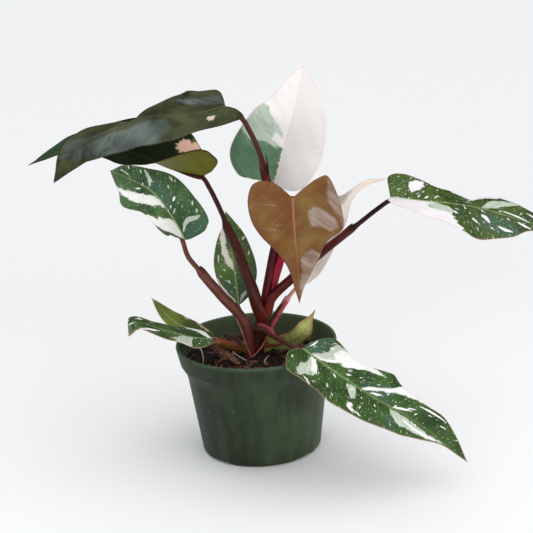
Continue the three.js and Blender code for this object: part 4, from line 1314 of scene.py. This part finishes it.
root_skin = thread_skin("root skin", (176, 150, 130), (238, 226, 214))
thread_skin_dark = thread_skin("dry fibre", (44, 28, 24), (84, 52, 44))
for name, points in THREADS.items():
    thick = 0.7 if name == "dry_thread" else 0.8
    course = Course(points)
    thread = rolled(f"fine_{name}", course, (0, 0, 400), 60, 10, lambda share, angle, thick=thick: (
        thick * (0.9 + 0.1 * np.sin(share * 37)) * (1 - 0.45 * share)))
    thread.data.materials.append(thread_skin_dark if name == "dry_thread" else root_skin)
    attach(thread, "root")
    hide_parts(name)
print("small pieces:", len(HUSKS) + len(THREADS))

# %% [markdown]
# The lowest sheath is open at the front. Its two edges run down and meet in a V at the bark, as fine
# pale lines.

# %% Sheath edges
EDGES = {
    "left": ([(-17.3, -9, 133), (-13.4, -7.5, 120.6), (-10.5, -6, 108.7), (-8.5, -5.5, 101.2),
              (-5.3, -5, 91)], (196, 128, 124)),
    "right": ([(17, 1, 117.1), (10.6, -1, 109), (3.8, -3, 99), (-1.3, -4.5, 94.2), (-5, -5, 91)],
              (222, 124, 92)),
}
for side, (points, colour) in EDGES.items():
    edge = rolled(f"sheath_edge_{side}", Course(points), (0, -400, 100), 60, 10, lambda share, angle: (
        0.75 * (0.8 + 0.2 * np.sin(share * 23)) * (1 - 0.35 * np.abs(2 * share - 1) ** 2)))
    edge.data.materials.append(thread_skin(f"sheath edge {side}", [0.8 * c for c in colour], colour))
    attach(edge, "root")
print("sheath edges:", list(EDGES))

# %% [markdown]
# ## The pot
#
# A nursery pot is moulded from one sheet of soft green plastic: a tapered body, a shoulder, a deep
# rim band with a rolled edge, and notches under the foot to let the water out. It is built as it
# would be thrown: a disc for the foot is extruded ring by ring up the outside, over the rim, and
# down the inside again. The corners are then rounded and the notches cut.

# %% Build the pot
POT_OUTSIDE = [(55.3, 0), (57.3, 2), (67.6, 78), (69.8, 83), (73, 88.5), (73.6, 89.5), (76.3, 102.4),
               (77, 105.4), (76.2, 107.4)]
POT_INSIDE = [(74.6, 107.4), (73.8, 104.4), (72.2, 89.5), (66.2, 77), (55.9, 4.2), (45.3, 4.2), (44.3, 1.8)]
POT_SIDES = 144
NOTCH_ANGLES = (45, 135, 225, 315)
NOTCH = dict(width=21, depth=16, height=4.8)
FOOT_RADIUS = POT_OUTSIDE[1][0]


def build_pot():
    rings = [*POT_OUTSIDE, *POT_INSIDE]
    bpy.ops.object.select_all(action="DESELECT")
    bpy.ops.mesh.primitive_circle_add(vertices=POT_SIDES, radius=rings[0][0] * MM, fill_type="NGON")
    pot = bpy.context.object
    pot.name = pot.data.name = "nursery_pot"

    def next_ring(before, after):
        (r0, z0), (r1, z1) = before, after
        bpy.ops.mesh.extrude_region_move(TRANSFORM_OT_translate={"value": (0, 0, (z1 - z0) * MM)})
        bpy.ops.transform.resize(value=(r1 / r0, r1 / r0, 1), center_override=(0, 0, z1 * MM))

    edit(pot, *[lambda pair=pair: next_ring(*pair) for pair in zip(rings, rings[1:])])
    edit(pot, face_out)
    modified(pot, "BEVEL", width=0.45 * MM, segments=3, limit_method="ANGLE", angle_limit=math.radians(14))
    return pot


def cut_notch(pot, angle):
    bpy.ops.object.select_all(action="DESELECT")
    bpy.ops.mesh.primitive_cube_add(size=1)
    tool = bpy.context.object
    turn = math.radians(angle)
    size = (NOTCH["depth"] * MM, NOTCH["width"] * MM, NOTCH["height"] * MM)
    centre = (FOOT_RADIUS * MM * math.cos(turn), FOOT_RADIUS * MM * math.sin(turn), 0)
    edit(
        tool,
        lambda: bpy.ops.transform.resize(value=size, center_override=(0, 0, 0)),
        lambda: bpy.ops.transform.rotate(value=-turn, orient_axis="Z", center_override=(0, 0, 0)),
        lambda: bpy.ops.transform.translate(value=centre),
        lambda: bpy.ops.mesh.bevel(offset=0.0008, segments=2, affect="EDGES"),
    )
    modified(pot, "BOOLEAN", operation="DIFFERENCE", solver="EXACT", object=tool)
    bpy.data.objects.remove(tool)


pot = build_pot()
for angle in NOTCH_ANGLES:
    cut_notch(pot, angle)
bpy.ops.object.shade_smooth_by_angle(angle=math.radians(35))
print("pot faces:", len(pot.data.polygons))

# %% [markdown]
# The plastic is satin. Its moulding left faint upright streaks, and handling left fine scuffs and a
# few pale scratches, so the colour, the gloss and the bump all vary a little. The colour is painted
# darker at the left side and lighter at the right, as painted light, and the rolled edge is painted
# paler, as a painted highlight.

# %% Pot finish
# From where to where the colour is painted paler, in metres: across the pot as painted light, and
# up at its rolled edge as a painted highlight.
PAINTED_SIDE_LIGHT = (-0.075, 0.065)
PAINTED_LIP_HIGHLIGHT = (0.1035, 0.107)


def pot_plastic():
    finish = Finish("green plastic")
    place = finish.place()
    split = finish.node("SeparateXYZ", {"Vector": place})
    tall = finish.join(split.outputs[0], split.outputs[1], finish.times(split.outputs[2], 0.12))
    streaks = finish.noise(tall, 70.0, 4.0, 0.6)
    clouds = finish.noise(place, 22.0, 4.0, 0.55)
    scuff = finish.noise(place, 420.0, 3.0, 0.7)
    slant = finish.join(
        finish.times(split.outputs[0], 0.3), split.outputs[1],
        finish.total(split.outputs[2], finish.times(split.outputs[0], 0.6)),
    )
    scratch = finish.rise(finish.noise(slant, 260.0, 2.0, 0.4), 0.74, 0.78)
    # Darker at the left and lighter at the right: painted light.
    painted_light_share = finish.rise(split.outputs[0], *PAINTED_SIDE_LIGHT)
    dark = finish.mix(painted_light_share, paint(16, 30, 12), paint(44, 58, 39))
    light = finish.mix(painted_light_share, paint(36, 52, 28), paint(68, 84, 58))
    skin = finish.mix(finish.rise(finish.total(streaks, clouds), 0.8, 1.25), dark, light)
    skin = finish.mix(finish.times(scratch, 0.3), skin, paint(120, 146, 112))
    facing = finish.node("VectorMath", operation="DOT_PRODUCT")
    finish.feed(facing.inputs[0], finish.node("NewGeometry").outputs["Normal"])
    finish.feed(facing.inputs[1], finish.join(split.outputs[0], split.outputs[1]))
    inner = finish.rise(facing.outputs["Value"], 0.01, -0.01)
    skin = finish.mix(finish.times(inner, finish.rise(clouds, 0.2, 0.8, 0.45, 0.9)), skin, paint(96, 110, 82))
    # The rolled edge is painted paler, broken up by the scuffs: a painted highlight.
    lip_highlight = finish.rise(split.outputs[2], *PAINTED_LIP_HIGHLIGHT)
    skin = finish.mix(finish.times(lip_highlight, finish.rise(scuff, 0.3, 0.7, 0.1, 0.5)), skin, paint(112, 136, 108))
    finish.shade(Base_Color=skin, Roughness=finish.rise(finish.total(clouds, scuff), 0.7, 1.3, 0.46, 0.6))
    finish.shade(Specular_IOR_Level=0.28)
    finish.shade(Normal=finish.bump(scuff, 0.00012, 0.5, finish.bump(streaks, 0.001, 0.2)))
    return finish.material


pot.data.materials.append(pot_plastic())
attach(pot, "root")
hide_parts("pot")
print("nodes in the pot's finish:", len(pot.data.materials[0].node_tree.nodes))

# %% [markdown]
# ## Bark
#
# The plant is potted in chips of fir bark. Below them lies a bed with a lumpy surface, which closes
# the pot. A few chips are made from a cube, each with its own cuts and dents, and copies of them are
# scattered over the bed, tilted by chance and each sunk in a little.

# %% The bed
# The bark's radius at the wall, the height of its top and of its underside, and its mound.
SOIL_EDGE = 70.2
SOIL_TOP = 88
SOIL_LOW = 5.2
MOUND = dict(high=2.5, wide=36)
# The share of the rows on the top and on the side, and the radii at the rows below the top.
TOP_ROWS = 0.8
SIDE_ROWS = 0.12
SOIL_SIDE = ((TOP_ROWS, 0.82, 0.92, 1.0), (SOIL_EDGE, 65.2, 55.2, 0))


def soil_height(x, y):
    lumps = np.sin(0.19 * x + 1) * np.cos(0.23 * y - 0.07 * x) + 0.5 * np.sin(0.41 * x - 0.37 * y)
    mound = MOUND["high"] * np.exp(-(x**2 + y**2) / MOUND["wide"] ** 2)
    return SOIL_TOP + mound + 1.3 * lumps


def lay_bed(down, across):
    """Rows run from the middle of the top over the edge and down to the middle of the underside."""
    angle = across * 2 * math.pi
    top = np.clip(down / TOP_ROWS, 0, 1)
    r = np.where(down <= TOP_ROWS, SOIL_EDGE * top, np.interp(down, *SOIL_SIDE))
    x, y = r * np.cos(angle), r * np.sin(angle)
    grit = 0.5 * np.sin(1.7 * x + 0.6 * y) * np.sin(1.3 * y - 0.8 * x) * hill(r, 68, 60)
    high = soil_height(x, y) + grit
    z = high + (SOIL_LOW - high) * np.clip((down - TOP_ROWS) / SIDE_ROWS, 0, 1)
    return np.stack([x, y, z], -1), np.stack([x, y], -1) / CHART_UNIT, {}


bed = laid_grid("bark_bed", 90, 120, lay_bed)
edit(bed, lambda: weld(0.000005), face_out)
bpy.ops.object.shade_smooth()
print("bed faces:", len(bed.data.polygons))

# %% [markdown]
# The chips are copies of seven flakes. For each, a flat cube is subdivided once, tapered towards its
# ends and dented by chance, so that no two look alike from a step away.

# %% The chips
CHIP_KINDS = 7
CHIP_COUNT = 210
SLIVER_COUNT = 260
CLEAR_OF_STEM = 9.0
# Places where no chip may hide a root, the low leaf or the dry sheath.
ROOT_LINES = [Course(path, 8) for name, path in THREADS.items() if "root" in name]
KEPT_IN_SIGHT = [point for line in ROOT_LINES for point in line.points]
KEPT_IN_SIGHT += [(x, y, 90) for x in (10, 18, 26, 34) for y in (-14, -6, 2)]
KEPT_IN_SIGHT += [(-14, -19, 88), (-22, -17, 92)]
KEPT_IN_SIGHT = np.array(KEPT_IN_SIGHT)[:, :2]
draw = np.random.default_rng(11)


def chip_form():
    """One flake: a flat cube subdivided once, tapered and dented, 1 long."""
    bpy.ops.object.select_all(action="DESELECT")
    bpy.ops.mesh.primitive_cube_add(size=1)
    chip = bpy.context.object
    wide, thick = draw.uniform(0.28, 0.5), draw.uniform(0.12, 0.24)
    edit(
        chip,
        lambda: bpy.ops.transform.resize(value=(1, wide, thick), center_override=(0, 0, 0)),
        lambda: bpy.ops.mesh.subdivide(number_cuts=1),
    )
    points = np.zeros(len(chip.data.vertices) * 3)
    chip.data.vertices.foreach_get("co", points)
    points = points.reshape(-1, 3)
    taper = 1 - 0.55 * np.abs(points[:, :1] * 2) ** 1.5 * draw.uniform(0.4, 1)
    points[:, 1:] *= taper
    points += draw.uniform(-0.045, 0.045, points.shape)
    points[:, 2] += draw.uniform(-0.12, 0.12) * points[:, 0] ** 2 * 4
    faces = [list(face.vertices) for face in chip.data.polygons]
    bpy.data.objects.remove(chip)
    return points, faces


def turned(points, yaw, pitch, roll):
    cy, sy, cp, sp, cr, sr = (f(a) for a in (yaw, pitch, roll) for f in (math.cos, math.sin))
    about_x = np.array([[1, 0, 0], [0, cr, -sr], [0, sr, cr]])
    about_y = np.array([[cp, 0, sp], [0, 1, 0], [-sp, 0, cp]])
    about_z = np.array([[cy, -sy, 0], [sy, cy, 0], [0, 0, 1]])
    return points @ (about_z @ about_y @ about_x).T


print("kinds of chips:", CHIP_KINDS)

# %% [markdown]
# The flakes are scattered over the bed. The square root of a random number spreads them evenly over
# a disc. Near a root or the low leaf they are pushed down, so that those stay in sight. All of them
# end in one mesh, and the tone of each is kept on its points.

# %% Scatter the chips
forms = [chip_form() for _ in range(CHIP_KINDS)]
places, faces, shades = [], [], []
for number in range(CHIP_COUNT + SLIVER_COUNT):
    points, cells = forms[number % CHIP_KINDS]
    sliver = number >= CHIP_COUNT
    long = draw.uniform(4, 11) if sliver else draw.uniform(8, 20)
    slim = [1, 0.45, 0.6] if sliver else [1, 1, 1]
    far = (SOIL_EDGE - long * 0.4) * math.sqrt(draw.uniform((CLEAR_OF_STEM / SOIL_EDGE) ** 2, 1))
    angle = draw.uniform(0, 2 * math.pi)
    x, y = far * math.cos(angle), far * math.sin(angle)
    tilt = draw.normal(0, 0.35 if sliver else 0.22, 2)
    flake = turned(points * slim * long, draw.uniform(0, 2 * math.pi), *tilt)
    near = np.hypot(*(KEPT_IN_SIGHT - [x, y]).T).min()
    rise = draw.uniform(0.4, 3.0) if sliver else draw.uniform(-0.8, 1.6)
    rise -= 3.2 * float(hill(near, 0.5 * long + 5, 0.5 * long))
    flake += [x, y, soil_height(x, y) + rise]
    offset = len(shades)
    places.append(flake)
    faces += [[offset + k for k in cell] for cell in cells]
    shades += [draw.uniform(0.35, 1.25) if sliver else draw.uniform(0.0, 0.9)] * len(points)
mesh = bpy.data.meshes.new("bark_chips")
mesh.from_pydata(np.vstack(places) * MM, [], faces)
mesh.attributes.new("shade", "FLOAT", "POINT").data.foreach_set("value", np.array(shades, np.float32))
chips = bpy.data.objects.new("bark_chips", mesh)
bpy.context.collection.objects.link(chips)
modified(chips, "BEVEL", width=0.35 * MM, segments=1, limit_method="ANGLE", angle_limit=math.radians(35))
print("chips:", CHIP_COUNT + SLIVER_COUNT, "faces:", len(mesh.polygons))


# %% [markdown]
# Bark is dark brown with paler corky layers. Each chip has its own tone, and a coarse noise that is
# drawn out in one direction gives the fibres. The bed has the same finish in darker tones, because
# little light gets down to it.

# %% Bark finish
def bark(name, shade=None, tones=((34, 19, 15), (156, 102, 84))):
    finish = Finish(name)
    place = finish.place()
    split = finish.node("SeparateXYZ", {"Vector": place})
    grain_place = finish.join(
        finish.times(split.outputs[0], 0.35), split.outputs[1], finish.times(split.outputs[2], 2.0)
    )
    grain = finish.noise(grain_place, 520.0, 5.0, 0.7)
    clouds = finish.noise(place, 130.0, 4.0, 0.6)
    tone = finish.attribute("shade") if shade else clouds
    skin = finish.mix(finish.rise(tone, 0.15, 0.95), paint(*tones[0]), paint(*tones[1]))
    skin = finish.mix(finish.rise(grain, 0.35, 0.7, 0.0, 0.7), skin, paint(26, 15, 13))
    skin = finish.mix(finish.rise(clouds, 0.62, 0.75, 0.0, 0.45), skin, paint(182, 130, 110))
    finish.shade(Base_Color=skin, Roughness=0.8, Normal=finish.bump(grain, 0.0012))
    return finish.material


bed.data.materials.append(bark("bark bed", tones=((19, 11, 9), (58, 36, 29))))
chips.data.materials.append(bark("bark chip", shade="shade"))
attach(bed, "root")
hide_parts("soil")
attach(chips, "root")
print("bark pieces:", bed.name, chips.name)

# %% [markdown]
# ## Studio
#
# The plant stands on a pale floor that runs on past the view. Its colour is painted lighter at the
# front and darker towards the back, as painted light. The photograph's light is soft
# and strongest at the right, so the room itself is brighter on its right side, and five sun lamps
# with a wide angle are added: on the ceiling, behind to the left, beside the camera, at the right
# and in front. Such lamps light the whole floor alike, as lamps that are near can't. The room isn't
# mirrored in glossy skins, so a leaf shows its gloss only where it mirrors one of the lamps.

# %% Floor and light
FLOOR_RADIUS = 14.0
FLOOR_LEVEL = (0, 0, -0.0002)

bpy.ops.object.select_all(action="DESELECT")
bpy.ops.mesh.primitive_circle_add(
    vertices=96, radius=FLOOR_RADIUS, fill_type="NGON", location=FLOOR_LEVEL
)
floor = bpy.context.object
floor.name = "studio_floor"
floor_finish = Finish("studio floor")
# The floor's colour goes from lighter at the front to darker at the back: painted light.
back = floor_finish.node("SeparateXYZ", {"Vector": floor_finish.place()}).outputs[1]
white = floor_finish.mix(floor_finish.rise(back, -0.2, 0.5), paint(249, 249, 250), paint(236, 236, 237))
floor.data.materials.append(floor_finish.shade(Base_Color=white, Roughness=0.9))
floor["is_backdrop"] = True

world = bpy.data.worlds.new("studio")
world.use_nodes = True
sky = world.node_tree
sky.nodes["Background"].inputs["Color"].default_value = paint(243, 244, 245)
split = sky.nodes.new("ShaderNodeSeparateXYZ")
brighter = sky.nodes.new("ShaderNodeMapRange")
sky.links.new(sky.nodes.new("ShaderNodeTexCoord").outputs["Generated"], split.inputs[0])
sky.links.new(split.outputs["X"], brighter.inputs["Value"])
sky.links.new(brighter.outputs[0], sky.nodes["Background"].inputs["Strength"])
for socket, value in {"From Min": -0.7, "From Max": 0.7, "To Min": 0.6, "To Max": 1.05}.items():
    brighter.inputs[socket].default_value = value
world.cycles_visibility.glossy = False
bpy.context.scene.world = world

# name: where it stands as azimuth and height in degrees, its width in degrees, its light, its colour
LAMPS = {
    "ceiling": (100, 80, 80, 0.38, (1.0, 1.0, 1.0)),
    "window behind": (131, 49, 28, 0.27, (0.8, 0.93, 1.0)),
    "box beside the camera": (-112, 20, 20, 0.2, (1.0, 0.98, 0.95)),
    "screen at the right": (-20, 35, 90, 0.54, (1.0, 0.99, 0.97)),
    "screen in front": (-75, 38, 90, 0.3, (1.0, 0.99, 0.98)),
}
for name, (azimuth, height, width, light, colour) in LAMPS.items():
    bpy.ops.object.select_all(action="DESELECT")
    bpy.ops.object.light_add(type="SUN", location=(0, 0, 3))
    lamp = bpy.context.object
    lamp.name = name
    lamp.data.energy = light
    lamp.data.angle = math.radians(width)
    lamp.data.color = colour
    lamp.rotation_euler = (0, math.radians(90 - height), math.radians(azimuth))
print("lamps:", list(LAMPS))

# %% [markdown]
# ## Sizes and the end
#
# The dressed plant has to fill the same box as the solids. How far it reaches past that box on
# each side is printed, so that the two can be compared after each run.

# %% Write the sizes
dressed_low, dressed_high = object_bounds()
grown = np.concatenate([cad_low - dressed_low, dressed_high - cad_high]) / MM
print("grown by mm:", [round(float(x), 1) for x in grown])
